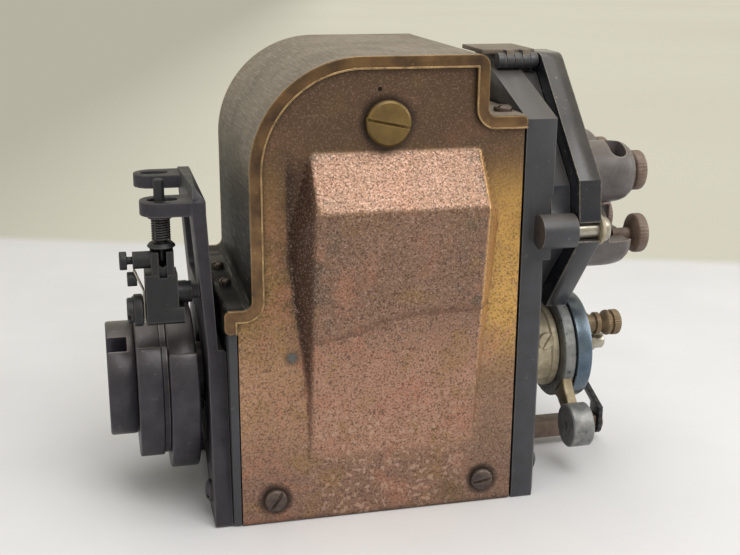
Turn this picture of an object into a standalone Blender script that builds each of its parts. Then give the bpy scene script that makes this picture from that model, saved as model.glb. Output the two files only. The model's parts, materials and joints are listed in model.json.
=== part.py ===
"""High-tension ignition magneto with an impulse coupling at its drive end.

Every physical piece is one named object. X runs along the rotor shaft towards the contact breaker,
Y runs away from the front cover and Z is up. The origin lies on the underside of the base, below the shaft.
"""
import math

import bmesh
import bpy
from mathutils import Matrix, Vector

MM = 0.001

# Fits
SEAT = 0.3 * MM              # gap between two pieces that rest on each other
RUN = 0.3 * MM               # gap round a piece that turns or slides
SINK = 1.0 * MM              # how far a fused boss reaches into the wall that carries it

# Body
SHAFT_HEIGHT = 45.0 * MM     # shaft centre above the base
BODY_LENGTH = 104.4 * MM     # between the inner faces of the two end castings
BODY_DEPTH = 90.0 * MM       # over the two brass side plates
SIDE_PLATE = 2.0 * MM
BASE_HEIGHT = 16.0 * MM
BASE_BOLT_PITCH_X = 50.0 * MM
BASE_BOLT_PITCH_Y = 60.0 * MM
BASE_BOLT_RADIUS = 4.0 * MM
BASE_BOLT_DEPTH = 11.0 * MM

# Drive end plate
DRIVE_PLATE = 3.0 * MM
DRIVE_PLATE_HEIGHT = 82.0 * MM
DRIVE_LEDGE_DEPTH = 6.0 * MM
DRIVE_LEDGE_HEIGHT = 8.0 * MM
BEARING_RADIUS = 17.0 * MM
BEARING_WIDTH = 7.0 * MM
BEARING_WALL = 3.5 * MM
BEARING_LIP = 6.0 * MM       # how much of the bearing's face the housing wall covers

# Hood over the magnets
HOOD_DEPTH = 94.0 * MM
HOOD_SHEET = 1.2 * MM
HOOD_LEG_INSET = 5.2 * MM    # outer face of the left leg, inwards from the drive end of the body
HOOD_RIGHT_INSET = 15.0 * MM  # outer face of the right wall, inwards from the distributor end
HOOD_WALL_RISE = 21.5 * MM   # height of the right wall over its foot
HOOD_ARC = 39.3 * MM
HOOD_CORNER = 4.0 * MM
HOOD_FILLET = 3.0 * MM
HOOD_BEND = 1.92 * MM        # outside of the bend at the tip of the left foot
HOOD_FOOT_DROP = 8.5 * MM    # length of the turned-down end of the left foot
LIP_WIDTH = 4.3 * MM
LIP_THICKNESS = 1.7 * MM

# Coil bulge pressed out of the front side plate
BULGE_HEIGHT = 14.0 * MM
BULGE_BOTTOM = 22.0 * MM
BULGE_TOP_DROP = 32.3 * MM   # heights of the bulge are measured down from the hood's top
BULGE_RIDGE_DROP = 51.0 * MM
BULGE_SHOULDER_DROP = 60.0 * MM
BULGE_CENTRE_X = 4.5 * MM
BULGE_MARGIN = 21.7 * MM     # flat plate beside the bulge, before it is moved off centre
BULGE_FLARE = 7.5 * MM       # how much wider the bulge is at the plate than on its face

# Distributor end casting
CASTING_THICKNESS = 11.3 * MM
CASE_OVER_SHOULDER = 5.7 * MM  # the gear case reaches over the casting's shoulder by this much
GABLE_RISE = 15.5 * MM
CASTING_EDGE = 3.0 * MM      # the casting's outer edges are cut back by this much below the studs
CASTING_EDGE_DEPTH = 6.5 * MM
CASTING_EDGE_DROP = 12.0 * MM  # the cut stops this far below the studs
CASTING_SHELF = 8.0 * MM     # inner shelf that carries the hood's right foot
GEAR_CASE_DEPTH = 8.6 * MM   # depth of the gear case, from the casting's inner face
BLOCK_FACE = 18.0 * MM       # seat of the distributor block, from the casting's inner face
STUD_Y = 50.0 * MM
STUD_DROP = 1.5 * MM         # studs lie below the distributor spindle
STUD_RADIUS = 2.8 * MM
STUD_NUT_RADIUS = 4.5 * MM
STUD_NUT_LENGTH = 3.9 * MM
STUD_WASHER_RADIUS = 5.6 * MM
STUD_WASHER = 1.2 * MM
STUD_BOSS_RADIUS = 6.3 * MM
STUD_BOSS_LENGTH = 13.5 * MM

# Distributor
DISTRIBUTOR_HEIGHT = 108.5 * MM
BLOCK_THICKNESS = 8.5 * MM
BLOCK_OVER_GABLE = 4.0 * MM
BLOCK_HALF_WIDTH = 54.0 * MM
BLOCK_SIDE_RISE = 17.0 * MM  # upper corners of the block's upright sides, above the spindle
BLOCK_SIDE_LEAN = 2.2 * MM   # the sides lean in by this much from the studs to those corners
BLOCK_TOP_HALF = 6.5 * MM    # half of the flat top, without its rounded corners
BLOCK_CORNER_DEG = 45.0      # slope of the block's upper edges
BLOCK_BOTTOM_DROP = 37.5 * MM
BLOCK_BOTTOM_HALF = 27.0 * MM
BLOCK_APEX_ROUND = 7.0 * MM
BLOCK_FACE_PLATE = 3.0 * MM
BLOCK_FACE_INSET = 7.5 * MM  # how far the casting's seat stays inside the block's outline
FACE_PLATE_INSET = 11.6 * MM
BRUSH_TRACK_RADIUS = 27.0 * MM
BRUSH_TRACK_DEPTH = 6.0 * MM
FINGER_TIP_RADIUS = 4.0 * MM
BRUSH_RADIUS = 2.4 * MM
TOWER_Y = 16.5 * MM
TOWER_Z = 12.75 * MM
TOWER_RADIUS = 12.2 * MM
TOWER_END_RADIUS = 9.6 * MM
TOWER_LENGTH = 23.0 * MM
TOWER_STRAIGHT = 14.0 * MM    # the foot of a tower is straight, then it narrows
TOWER_SHOULDER = 6.0 * MM
LEAD_HOLE_RADIUS = 3.4 * MM
LEAD_HOLE_OUT = 16.0 * MM    # from the foot of the tower
NUT_RADIUS = 7.8 * MM
NUT_THICKNESS = 6.0 * MM
NUT_GROOVE = 0.86            # radii of a nut's groove and crown, as shares of the nut's radius
NUT_CROWN = 0.85
NUT_GROOVE_END = 0.22        # where the groove ends and the grip lies, as shares of the thickness
NUT_GRIP_START = 0.3
NUT_GRIP_END = 0.92
NUT_STEM_RADIUS = 2.3 * MM
NUT_STEM_LENGTH = 4.5 * MM
NUT_BACKED_OFF = 2.7 * MM    # the two lower nuts stand unscrewed by this much

# Gears: the distributor turns at half the speed of the rotor
PINION_TEETH = 20
GEAR_TEETH = 40
GEAR_WIDTH = 5.4 * MM
ADDENDUM_SHARE = 0.6         # heights of a tooth above and below its pitch line, in modules
DEDENDUM_SHARE = 0.85
TOOTH_ROOT_SHARE = 0.29      # half widths of a tooth at its root and tip, as shares of the pitch
TOOTH_TIP_SHARE = 0.12
GEAR_INSET = 2.0 * MM        # from the casting's inner face
SPINDLE_RADIUS = 6.0 * MM

# Shaft and rotor
SHAFT_RADIUS = 7.0 * MM
SHAFT_BODY_RADIUS = 8.0 * MM
SHAFT_END_RADIUS = 6.0 * MM
CAM_SEAT_RADIUS = 4.5 * MM
ROTOR_RADIUS = 22.0 * MM
ROTOR_CORE_RADIUS = 12.0 * MM
ROTOR_END_ROOM = 28.2 * MM   # pole block and bearing at each end of the rotor
ROTOR_CENTRE_X = -4.0 * MM
ROTOR_WING_DEG = 100.0
POLE_BLOCK = 10.0 * MM
POLE_BLOCK_WIDTH = 50.0 * MM
POLE_BLOCK_TOP = 71.7 * MM
POLE_BORE = 14.0 * MM
FIELD_POLE = 8.0 * MM
CORE_DROP = 4.2 * MM         # the coil lies this far below the distributor spindle
AIR_GAP = 0.8 * MM
MAGNET_THICKNESS = 11.5 * MM
MAGNET_GAP = 3.6 * MM        # between the two magnets, where the high-tension rod passes
MAGNET_CLEARANCE = 1.6 * MM  # between the magnets and the hood
CORE_SIZE = 14.0 * MM
COIL_RADIUS = 22.0 * MM
COIL_LENGTH = 60.0 * MM
CONDENSER_THICKNESS = 11.0 * MM
CONDENSER_WIDTH = 34.0 * MM
CONDENSER_HEIGHT = 26.0 * MM
CONDENSER_CLEARANCE = 1.4 * MM  # between the condenser and the magnet beside it
ROD_RADIUS = 1.5 * MM

# Tie rod and the screws that hold the side plates
TIE_X = 1.2 * MM
TIE_DROP = 22.7 * MM         # below the hood's top
TIE_RADIUS = 6.0 * MM
TIE_SCREW_HEAD = 8.1 * MM
TIE_HEAD_HEIGHT = 3.4 * MM
PLATE_SCREW_INSET = 12.5 * MM
PLATE_SCREW_Z = 9.4 * MM
PLATE_SCREW_HEAD = 4.3 * MM
SCREW_SHANK = 2.0 * MM
SCREW_HEAD_HEIGHT = 2.4 * MM
SCREW_BITE = 8.0 * MM
FOOT_SCREW_HEAD = 3.4 * MM
LEFT_FOOT_SCREW_HEAD = 2.3 * MM
FOOT_SCREW_OUT = 0.2 * MM     # left foot screws, outwards from the inner face of the drive plate
FOOT_SCREW_IN = 5.0 * MM      # right foot screws, inwards from the inner face of the casting
FOOT_SCREW_LEFT_Y = 12.0 * MM
FOOT_SCREW_RIGHT_Y = 33.0 * MM
END_SCREW_Y = 33.0 * MM
END_SCREW_Z = 10.0 * MM
HEAD_CROWN = 0.62            # a screw head's flat crown, as a share of its radius
HEAD_CROWN_HEIGHT = 0.9      # heights of the crown's edge and of the rim, as shares of the head
HEAD_RIM_HEIGHT = 0.42
SLOT_SHARE = 0.28            # a screw slot's width, as a share of the head's radius
SLOT_OVERRUN = 1.2           # the slot's cutter runs out past the head by this share
SLOT_TURN_DEG = 50.0         # each screw's slot lies turned from the last one's

# Impulse coupling
RATCHET_RADIUS = 36.0 * MM
RATCHET_WIDTH = 10.4 * MM
RATCHET_GAP = 3.0 * MM       # between the trip bracket and the ratchet
RATCHET_NOTCH = 27.0 * MM
CUP_RADIUS = 31.0 * MM
CUP_WIDTH = 11.0 * MM
CUP_STEP = 1.8 * MM
CUP_STEP_RADIUS = 30.0 * MM
CUP_NOTCH = 25.5 * MM
CUP_CAVITY = 23.0 * MM
CUP_FLOOR = 2.2 * MM
COUPLING_RADIUS = 21.8 * MM
COUPLING_WIDTH = 10.2 * MM
TONGUE_SLOT = 6.6 * MM
TONGUE_SLOT_DEPTH = 7.6 * MM
TONGUE_SLOT_DEG = 125.0
NOTCH_FROM_DEG = 82.0
RATCHET_NOTCH_TO_DEG = 148.0
CUP_NOTCH_TO_DEG = 140.0
SPIRAL_TURNS = 2.5
SPIRAL_STRIP = 1.0 * MM
SPIRAL_INNER = 10.5 * MM
SPIRAL_OUTER = 21.0 * MM

# Trip bracket
BRACKET_FOOT = 6.4 * MM
BRACKET_STEP = 66.5 * MM
BRACKET_UPPER = 3.6 * MM     # thickness just above the step
BRACKET_LEAN = 3.4 * MM      # the upper legs lean out by this much at the top
BRACKET_INNER_LEAN = 2.04 * MM  # lean of the legs' inner face
BRACKET_TOP = 124.0 * MM
BRACKET_FOOT_HALF = 44.0 * MM
BRACKET_TOP_HALF = 32.0 * MM
BRACKET_ARCH_HALF = 24.0 * MM
BRACKET_ARCH_RISE = 20.0 * MM
BRACKET_SHAFT_HOLE = 16.0 * MM
WINDOW_HALF = 18.0 * MM
WINDOW_BOTTOM = 84.0 * MM
WINDOW_TOP = 112.5 * MM
PRONG_Y = 25.0 * MM
PRONG_RADIUS = 7.0 * MM
PRONG_BOTTOM = 114.6 * MM
PRONG_THICKNESS = 5.0 * MM
PRONG_REACH = 14.0 * MM      # plunger line, from the bracket's foot face
PRONG_SLOT_RADIUS = 3.0 * MM
PRONG_SLOT_HALF = 3.6 * MM
PRONG_SLOT_TIP = 1.44 * MM   # the slot's outer end, from the plunger line

# Trip lever and its spring plunger
LEVER_PIVOT_Z = 85.5 * MM
LEVER_PIN_RADIUS = 2.6 * MM
LEVER_BOSS_RADIUS = 3.9 * MM
LEVER_WIDTH = 13.3 * MM
LEVER_RIM_GAP = 1.6 * MM     # between the lever's sole and the ratchet rim
LEVER_FORK_REACH = 16.5 * MM
LEVER_FORK_WIDTH = 8.0 * MM
LEVER_FORK_SLOT = 2.8 * MM
LEVER_SHOULDER_RISE = 8.0 * MM  # top of the lever's body, above its pivot
LEVER_SLOT_RISE = 6.8 * MM   # bottom of the fork's slot, above the pivot
ADJUSTER_BOSS_RADIUS = 3.12 * MM
ADJUSTER_HEAD_RADIUS = 3.3 * MM
ADJUSTER_NECK_RADIUS = 1.4 * MM
LEAF_HALF_WIDTH = 2.8 * MM
LEAF_THICKNESS = 0.6 * MM
LEAF_BEND_RISE = 1.6 * MM    # where the leaf spring bends outwards, above the pivot
LEAF_DROP = 9.9 * MM         # lower end of the leaf spring, below the pivot
STOP_NUT_RADIUS = 5.85 * MM
STOP_NUT_LENGTH = 5.5 * MM
STOP_NUT_BORE = 1.2 * MM
STOP_NUT_DROP = 5.9 * MM     # below the pivot
PLUNGER_RADIUS = 1.9 * MM
PLUNGER_TIP_RADIUS = 1.1 * MM
PLUNGER_TIP_LENGTH = 5.0 * MM
PLUNGER_FLANGE_RADIUS = 5.0 * MM
PLUNGER_FLANGE = 1.8 * MM
PLUNGER_CHAMFER = 0.4 * MM
PLUNGER_FLANGE_TAPER = 1.0 * MM
PLUNGER_TOP = 127.0 * MM
SPRING_WIRE = 0.8 * MM
SPRING_RADIUS = 2.9 * MM
SPRING_COIL_COUNT = 5
SPRING_STEP_COUNT = 10       # points of the wire's path in each coil
SPRING_SEAT = 1.4 * MM
SPRING_SEAT_RADIUS = 4.3 * MM

# Contact breaker
COLLAR_RADIUS = 16.0 * MM
COLLAR_LENGTH = 11.6 * MM
COLLAR_SCREW_HEAD = 3.4 * MM
COLLAR_SCREW_RISE = 7.0 * MM  # above the shaft
SPIGOT_RADIUS = 11.0 * MM
SPIGOT_LENGTH = 4.0 * MM
TIMING_RADIUS = 21.5 * MM
TIMING_WIDTH = 5.1 * MM
TIMING_FLOOR = 2.5 * MM
TIMING_WALL = 3.0 * MM
TIMING_BOSS_REACH = 38.4 * MM
TIMING_BOSS_DEG = 218.7
TIMING_BOSS_RADIUS = 8.7 * MM
TIMING_BOSS_LENGTH = 8.8 * MM
TIMING_BOSS_HOLE = 1.6 * MM
TIMING_ARM_HALF = 4.4 * MM
TIMING_ARM = 4.4 * MM
CAP_RADIUS = 22.3 * MM
CAP_WIDTH = 6.7 * MM
CAP_WALL = 1.8 * MM
BUTTON_RADIUS = 4.2 * MM
BUTTON_LENGTH = 13.4 * MM
GROUND_POST_RADIUS = 4.8 * MM
GROUND_POST_LENGTH = 8.7 * MM
GROUND_NUT_RADIUS = 5.3 * MM
GROUND_NUT_THICKNESS = 8.4 * MM
GROUND_Y = -5.0 * MM
GROUND_Z = 9.5 * MM          # above the shaft
CAM_RADIUS = 6.4 * MM
CAM_LIFT = 1.2 * MM
CAM_WIDTH = 5.0 * MM
BREAKER_ARM_WIDTH = 4.0 * MM
BREAKER_PIN_RADIUS = 0.8 * MM
BREAKER_PIVOT_DEG = 150.0    # angles round the shaft, from the far side upwards
BREAKER_TIP_DEG = 40.0
BREAKER_FOOT_DEG = 90.0
ANVIL_DEG = 15.0

# Spring clip that holds the breaker cap
CLIP_BAR_Z = 7.7 * MM
CLIP_BAR_SIZE = 7.6 * MM
CLIP_WIDTH = 10.0 * MM
CLIP_THICKNESS = 1.8 * MM
CLIP_BAR_END = 106.0 * MM
CLIP_RIVET_RADIUS = 2.1 * MM
CLIP_RIVET_CROWN = 3.15 * MM
CLIP_RIVET_HEAD = 3.8 * MM
CLIP_PAD_HEIGHT = 4.6 * MM
CLIP_BEND_OFFSET = 0.54 * MM  # the outer side of each bend lies higher by this much
CLIP_TIP_ROUND = 4.0 * MM

# Oil well and its hinged lid
WELL_WIDTH = 22.0 * MM
WELL_OVER_GABLE = 3.2 * MM
WELL_WALL = 3.0 * MM
LID_THICKNESS = 1.6 * MM
LID_OVERHANG = 5.0 * MM
HINGE_RADIUS = 3.0 * MM
HINGE_PIN_RADIUS = 1.2 * MM
HINGE_DROP = 2.1 * MM        # the hinge line, below the well's top
WELL_FLOOR_DROP = 6.6 * MM   # the well's floor, below the casting's apex
WELL_WEB = 2.4 * MM          # height of the webs between the well and its knuckles
LID_WEB_OUT = 1.8 * MM       # the lid's webs start outside the hinge line by this much
LID_WEB_RISE = 1.2 * MM
LID_SIDE_OVERHANG = 1.5 * MM
KNUCKLE_COUNT = 5

# Places worked out from the driving sizes
LEFT_FACE = -BODY_LENGTH / 2
RIGHT_FACE = BODY_LENGTH / 2
FRONT_FACE = -BODY_DEPTH / 2
INNER_HALF_DEPTH = BODY_DEPTH / 2 - SIDE_PLATE - SEAT
GEAR_CENTRES = DISTRIBUTOR_HEIGHT - SHAFT_HEIGHT
GEAR_MODULE = 2 * GEAR_CENTRES / (PINION_TEETH + GEAR_TEETH)
PINION_PITCH = GEAR_MODULE * PINION_TEETH / 2
GEAR_PITCH = GEAR_MODULE * GEAR_TEETH / 2
GEAR_ADDENDUM = ADDENDUM_SHARE * GEAR_MODULE
GEAR_DEDENDUM = DEDENDUM_SHARE * GEAR_MODULE
GEAR_CASE_RADIUS = GEAR_PITCH + GEAR_ADDENDUM + 2 * RUN
CASTING_SHOULDER = DISTRIBUTOR_HEIGHT + GEAR_CASE_RADIUS - CASE_OVER_SHOULDER
CASTING_APEX = CASTING_SHOULDER + GABLE_RISE
BLOCK_APEX = CASTING_APEX + BLOCK_OVER_GABLE
BLOCK_BOTTOM = DISTRIBUTOR_HEIGHT - BLOCK_BOTTOM_DROP
STUD_Z = DISTRIBUTOR_HEIGHT - STUD_DROP
WELL_TOP = CASTING_APEX + WELL_OVER_GABLE
LEFT_FOOT_Z = DRIVE_PLATE_HEIGHT + SEAT + HOOD_SHEET
RIGHT_FOOT_Z = CASTING_SHOULDER + SEAT + HOOD_SHEET
HOOD_TOP = RIGHT_FOOT_Z + HOOD_WALL_RISE
HOOD_LEG = RIGHT_FACE - HOOD_LEG_INSET
HOOD_RIGHT = RIGHT_FACE - HOOD_RIGHT_INSET
BULGE_TOP = HOOD_TOP - BULGE_TOP_DROP
BULGE_RIDGE = HOOD_TOP - BULGE_RIDGE_DROP
BULGE_SHOULDER = HOOD_TOP - BULGE_SHOULDER_DROP
BULGE_HALF_WIDTH = RIGHT_FACE - BULGE_MARGIN
TIE_Z = HOOD_TOP - TIE_DROP
PLATE_SCREW_X = RIGHT_FACE - PLATE_SCREW_INSET
HOOD_ARC_X = -HOOD_LEG + HOOD_ARC
HOOD_ARC_Z = HOOD_TOP - HOOD_ARC
HOOD_TIP_X = LEFT_FACE - DRIVE_PLATE - SEAT - HOOD_SHEET
BLOCK_X = RIGHT_FACE + BLOCK_FACE
BLOCK_END_X = BLOCK_X + BLOCK_THICKNESS
TOWER_X = BLOCK_END_X + SEAT + BLOCK_FACE_PLATE
TOWER_END_X = TOWER_X + TOWER_LENGTH
BRACKET_X = LEFT_FACE - DRIVE_PLATE - SEAT
BRACKET_FOOT_X = BRACKET_X - BRACKET_FOOT
RATCHET_X = BRACKET_FOOT_X - RATCHET_GAP
RATCHET_LEFT_X = RATCHET_X - RATCHET_WIDTH
CUP_X = RATCHET_LEFT_X - RUN
CUP_LEFT_X = CUP_X - CUP_WIDTH
COUPLING_X = CUP_LEFT_X - SEAT
COUPLING_LEFT_X = COUPLING_X - COUPLING_WIDTH
PLUNGER_X = BRACKET_FOOT_X - PRONG_REACH
PLUNGER_Y = -PRONG_Y
COLLAR_X = BLOCK_X
COLLAR_END_X = COLLAR_X + COLLAR_LENGTH
TIMING_X = COLLAR_END_X + RUN
TIMING_END_X = TIMING_X + TIMING_WIDTH
CAP_X = TIMING_END_X + SEAT
CAP_END_X = CAP_X + CAP_WIDTH
ROTOR_LENGTH = BODY_LENGTH - 2 * ROTOR_END_ROOM
ROTOR_LEFT_X = ROTOR_CENTRE_X - ROTOR_LENGTH / 2
ROTOR_RIGHT_X = ROTOR_CENTRE_X + ROTOR_LENGTH / 2
MAGNET_LEFT_X = -HOOD_LEG + HOOD_SHEET + MAGNET_CLEARANCE
MAGNET_RIGHT_X = HOOD_RIGHT - HOOD_SHEET - MAGNET_CLEARANCE
COIL_X = (MAGNET_LEFT_X + MAGNET_RIGHT_X) / 2
CORE_Z = DISTRIBUTOR_HEIGHT - CORE_DROP
FIELD_POLE_TOP = CORE_Z - CORE_SIZE / 2 - SEAT
SHAFT = Vector((0.0, 0.0, SHAFT_HEIGHT))

PLANES = {
    "YZ": Matrix(((0, 0, 1, 0), (1, 0, 0, 0), (0, 1, 0, 0), (0, 0, 0, 1))),
    "XZ": Matrix(((1, 0, 0, 0), (0, 0, -1, 0), (0, 1, 0, 0), (0, 0, 0, 1))),
    "XY": Matrix.Identity(4),
}
EXTRUDE_SIGN = {"YZ": 1, "XZ": -1, "XY": 1}
AXES = {
    "X": PLANES["YZ"],
    "Y": Matrix(((0, 1, 0, 0), (0, 0, 1, 0), (1, 0, 0, 0), (0, 0, 0, 1))),
    "Z": Matrix.Identity(4),
}
DIRECTIONS = {"X": Vector((1, 0, 0)), "Y": Vector((0, 1, 0)), "Z": Vector((0, 0, 1))}
WELD = 1e-6
SHARP_ANGLE = math.radians(32)

for old in list(bpy.data.objects):
    bpy.data.objects.remove(old, do_unlink=True)

PARTS = bpy.data.collections.new("ignition_magneto")
CUTTERS = bpy.data.collections.new("cutters")
bpy.context.scene.collection.children.link(PARTS)
bpy.context.scene.collection.children.link(CUTTERS)


# Finishes

def finish(name, colour, roughness, metallic):
    material = bpy.data.materials.new(name)
    material.use_nodes = True
    shader = material.node_tree.nodes["Principled BSDF"]
    shader.inputs["Base Color"].default_value = (*colour, 1.0)
    shader.inputs["Roughness"].default_value = roughness
    shader.inputs["Metallic"].default_value = metallic
    material.diffuse_color = (*colour, 1.0)
    return material


PATINA_BRASS = finish("patinated_brass", (0.36, 0.20, 0.12), 0.45, 1.0)
HOOD_BRASS = finish("hood_brass", (0.30, 0.21, 0.12), 0.4, 1.0)
BLACK_ENAMEL = finish("black_enamel", (0.02, 0.02, 0.024), 0.45, 0.0)
HARD_RUBBER = finish("hard_rubber", (0.012, 0.013, 0.018), 0.25, 0.0)
AGED_RUBBER = finish("aged_hard_rubber", (0.07, 0.062, 0.058), 0.55, 0.0)
BROWN_NUT = finish("brown_bakelite", (0.09, 0.05, 0.03), 0.5, 0.0)
GUNMETAL = finish("gunmetal_steel", (0.05, 0.047, 0.055), 0.5, 0.8)
BRIGHT_STEEL = finish("bright_steel", (0.62, 0.58, 0.5), 0.3, 1.0)
DARK_STEEL = finish("dark_steel", (0.12, 0.11, 0.1), 0.45, 1.0)
BLUED_STEEL = finish("blued_steel", (0.06, 0.1, 0.13), 0.3, 0.9)
ALUMINIUM = finish("cast_aluminium", (0.38, 0.37, 0.37), 0.5, 1.0)
MAGNET_STEEL = finish("magnet_steel", (0.16, 0.16, 0.17), 0.5, 1.0)
LAMINATED_IRON = finish("laminated_iron", (0.2, 0.19, 0.18), 0.5, 1.0)
BRONZE = finish("bronze", (0.45, 0.3, 0.14), 0.4, 1.0)
VARNISHED_COIL = finish("varnished_coil", (0.05, 0.025, 0.015), 0.35, 0.0)
FIBRE = finish("red_fibre", (0.25, 0.05, 0.03), 0.7, 0.0)


# Modelling helpers

def clean(mesh):
    """Weld loose caps and point every face outwards."""
    shape = bmesh.new()
    shape.from_mesh(mesh)
    bmesh.ops.remove_doubles(shape, verts=shape.verts, dist=WELD)
    bmesh.ops.recalc_face_normals(shape, faces=shape.faces)
    shape.to_mesh(mesh)
    shape.free()
    return mesh


def evaluated_mesh(obj):
    graph = bpy.context.evaluated_depsgraph_get()
    mesh = bpy.data.meshes.new_from_object(obj.evaluated_get(graph))
    data = obj.data
    bpy.data.objects.remove(obj, do_unlink=True)
    if isinstance(data, bpy.types.Mesh):
        bpy.data.meshes.remove(data)
    else:
        bpy.data.curves.remove(data)
    return clean(mesh)


def guide(name, data):
    obj = bpy.data.objects.new(name, data)
    obj.hide_render = True
    obj.display_type = "WIRE"
    CUTTERS.objects.link(obj)
    return obj


def slab(outline, plane, low, high, holes=()):
    """A flat outline with holes, extruded from low to high across its plane."""
    curve = bpy.data.curves.new("outline", "CURVE")
    curve.dimensions = "2D"
    curve.fill_mode = "BOTH"
    curve.extrude = (high - low) / 2
    for loop in (outline, *holes):
        spline = curve.splines.new("POLY")
        spline.points.add(len(loop) - 1)
        for point, (u, v) in zip(spline.points, loop):
            point.co = (u, v, 0, 1)
        spline.use_cyclic_u = True
    mesh = evaluated_mesh(guide("outline", curve))
    middle = EXTRUDE_SIGN[plane] * (low + high) / 2
    mesh.transform(PLANES[plane] @ Matrix.Translation((0, 0, middle)))
    return mesh


def turned(profile, axis, centre, steps=32, closed=False):
    """Revolve (radius, place along the axis) points about an axis through centre."""
    data = bpy.data.meshes.new("profile")
    points = [(radius, 0.0, along) for radius, along in profile]
    edges = [(i, i + 1) for i in range(len(points) - 1)]
    if closed:
        edges.append((len(points) - 1, 0))
    data.from_pydata(points, edges, [])
    obj = guide("profile", data)
    screw = obj.modifiers.new("turn", "SCREW")
    screw.axis = "Z"
    screw.angle = 2 * math.pi
    screw.steps = steps
    screw.render_steps = steps
    screw.use_merge_vertices = True
    screw.merge_threshold = WELD
    mesh = evaluated_mesh(obj)
    mesh.transform(Matrix.Translation(centre) @ AXES[axis])
    return mesh


def ring(outer, inner, axis, low, high, centre, steps=32):
    profile = ((outer, high), (outer, low), (inner, low), (inner, high))
    return turned(profile, axis, centre, steps, closed=True)


def rod(start, end, radius, steps=20):
    """A round bar between two points."""
    start = Vector(start)
    end = Vector(end)
    shape = bmesh.new()
    bmesh.ops.create_cone(shape, cap_ends=True, segments=steps, radius1=radius, radius2=radius,
                          depth=(end - start).length)
    mesh = bpy.data.meshes.new("rod")
    shape.to_mesh(mesh)
    shape.free()
    turn = (end - start).to_track_quat("Z", "Y").to_matrix().to_4x4()
    mesh.transform(Matrix.Translation((start + end) / 2) @ turn)
    return mesh


def block(low, high):
    low = Vector(low)
    high = Vector(high)
    shape = bmesh.new()
    bmesh.ops.create_cube(shape, size=1.0)
    mesh = bpy.data.meshes.new("block")
    shape.to_mesh(mesh)
    shape.free()
    size = Matrix.Diagonal((*(high - low), 1.0))
    mesh.transform(Matrix.Translation((low + high) / 2) @ size)
    return mesh


def hull(points):
    """The solid that a stretched skin over the points would make."""
    shape = bmesh.new()
    for point in points:
        shape.verts.new(point)
    bmesh.ops.convex_hull(shape, input=shape.verts)
    mesh = bpy.data.meshes.new("hull")
    shape.to_mesh(mesh)
    shape.free()
    return clean(mesh)


def merged(*meshes):
    """Several separate solids as one mesh."""
    shape = bmesh.new()
    for mesh in meshes:
        shape.from_mesh(mesh)
        bpy.data.meshes.remove(mesh)
    mesh = bpy.data.meshes.new("group")
    shape.to_mesh(mesh)
    shape.free()
    return mesh


def part(name, mesh, material, pivot=None):
    """A finished sub-part; a moving one has its origin on its pivot."""
    mesh.name = name
    obj = bpy.data.objects.new(name, mesh)
    if pivot is not None:
        mesh.transform(Matrix.Translation(-Vector(pivot)))
        obj.location = pivot
    mesh.materials.clear()
    mesh.materials.append(material)
    mesh.shade_smooth()
    mesh.set_sharp_from_angle(angle=SHARP_ANGLE)
    PARTS.objects.link(obj)
    return obj


def combine(obj, mesh, operation):
    tool = guide(f"{obj.name}_tool", mesh)
    step = obj.modifiers.new(operation.lower(), "BOOLEAN")
    step.operation = operation
    step.solver = "EXACT"
    step.object = tool
    return obj


def cut(obj, *meshes):
    return combine(obj, merged(*meshes), "DIFFERENCE")


def fuse(obj, *meshes):
    return combine(obj, merged(*meshes), "UNION")


def weld(obj):
    """Close the hairline gaps that cuts can leave on fine curves."""
    step = obj.modifiers.new("weld", "WELD")
    step.merge_threshold = 5 * WELD
    return obj


def arc(centre_u, centre_v, radius, from_deg, to_deg, steps):
    """Points on a circle, ends included."""
    points = []
    for i in range(steps + 1):
        angle = math.radians(from_deg + (to_deg - from_deg) * i / steps)
        points.append((centre_u + radius * math.cos(angle), centre_v + radius * math.sin(angle)))
    return points


def circle(centre_u, centre_v, radius, steps=20):
    return arc(centre_u, centre_v, radius, 0, 360 * (steps - 1) / steps, steps - 1)


def rounded_box(low_u, low_v, high_u, high_v, radius, steps=4):
    return (arc(high_u - radius, high_v - radius, radius, 0, 90, steps)
            + arc(low_u + radius, high_v - radius, radius, 90, 180, steps)
            + arc(low_u + radius, low_v + radius, radius, 180, 270, steps)
            + arc(high_u - radius, low_v + radius, radius, 270, 360, steps))


def on_shaft(along):
    return Vector((along, 0.0, SHAFT_HEIGHT))


def screw_dome(head_radius, head_height, bite):
    """Turned profile of a round head, with its shank or its root going down by bite."""
    root = SCREW_SHANK if bite > SINK else head_radius
    return ((0.0, head_height), (head_radius * HEAD_CROWN, head_height * HEAD_CROWN_HEIGHT),
            (head_radius, head_height * HEAD_RIM_HEIGHT), (head_radius, 0.0), (root, 0.0), (root, -bite),
            (0.0, -bite))


def head_slot(seat, axis, sign, head_radius, head_height, slot_deg):
    size = Vector((2 * head_radius * SLOT_OVERRUN, head_radius * SLOT_SHARE, head_height))
    slot = block(-size / 2, size / 2)
    slot.transform(Matrix.Rotation(math.radians(slot_deg), 4, "Z"))
    slot.transform(Matrix.Translation(seat + DIRECTIONS[axis] * sign * head_height) @ AXES[axis])
    return slot


def slotted_screw(name, place, axis, sign, head_radius, head_height, bite, material, slot_deg):
    """A loose screw whose head rests on the place and points along the axis."""
    seat = Vector(place) + DIRECTIONS[axis] * sign * SEAT
    profile = [(radius, along * sign) for radius, along in screw_dome(head_radius, head_height, bite)]
    screw = part(name, turned(profile, axis, seat, 14), material)
    return cut(screw, head_slot(seat, axis, sign, head_radius, head_height, slot_deg))


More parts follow.
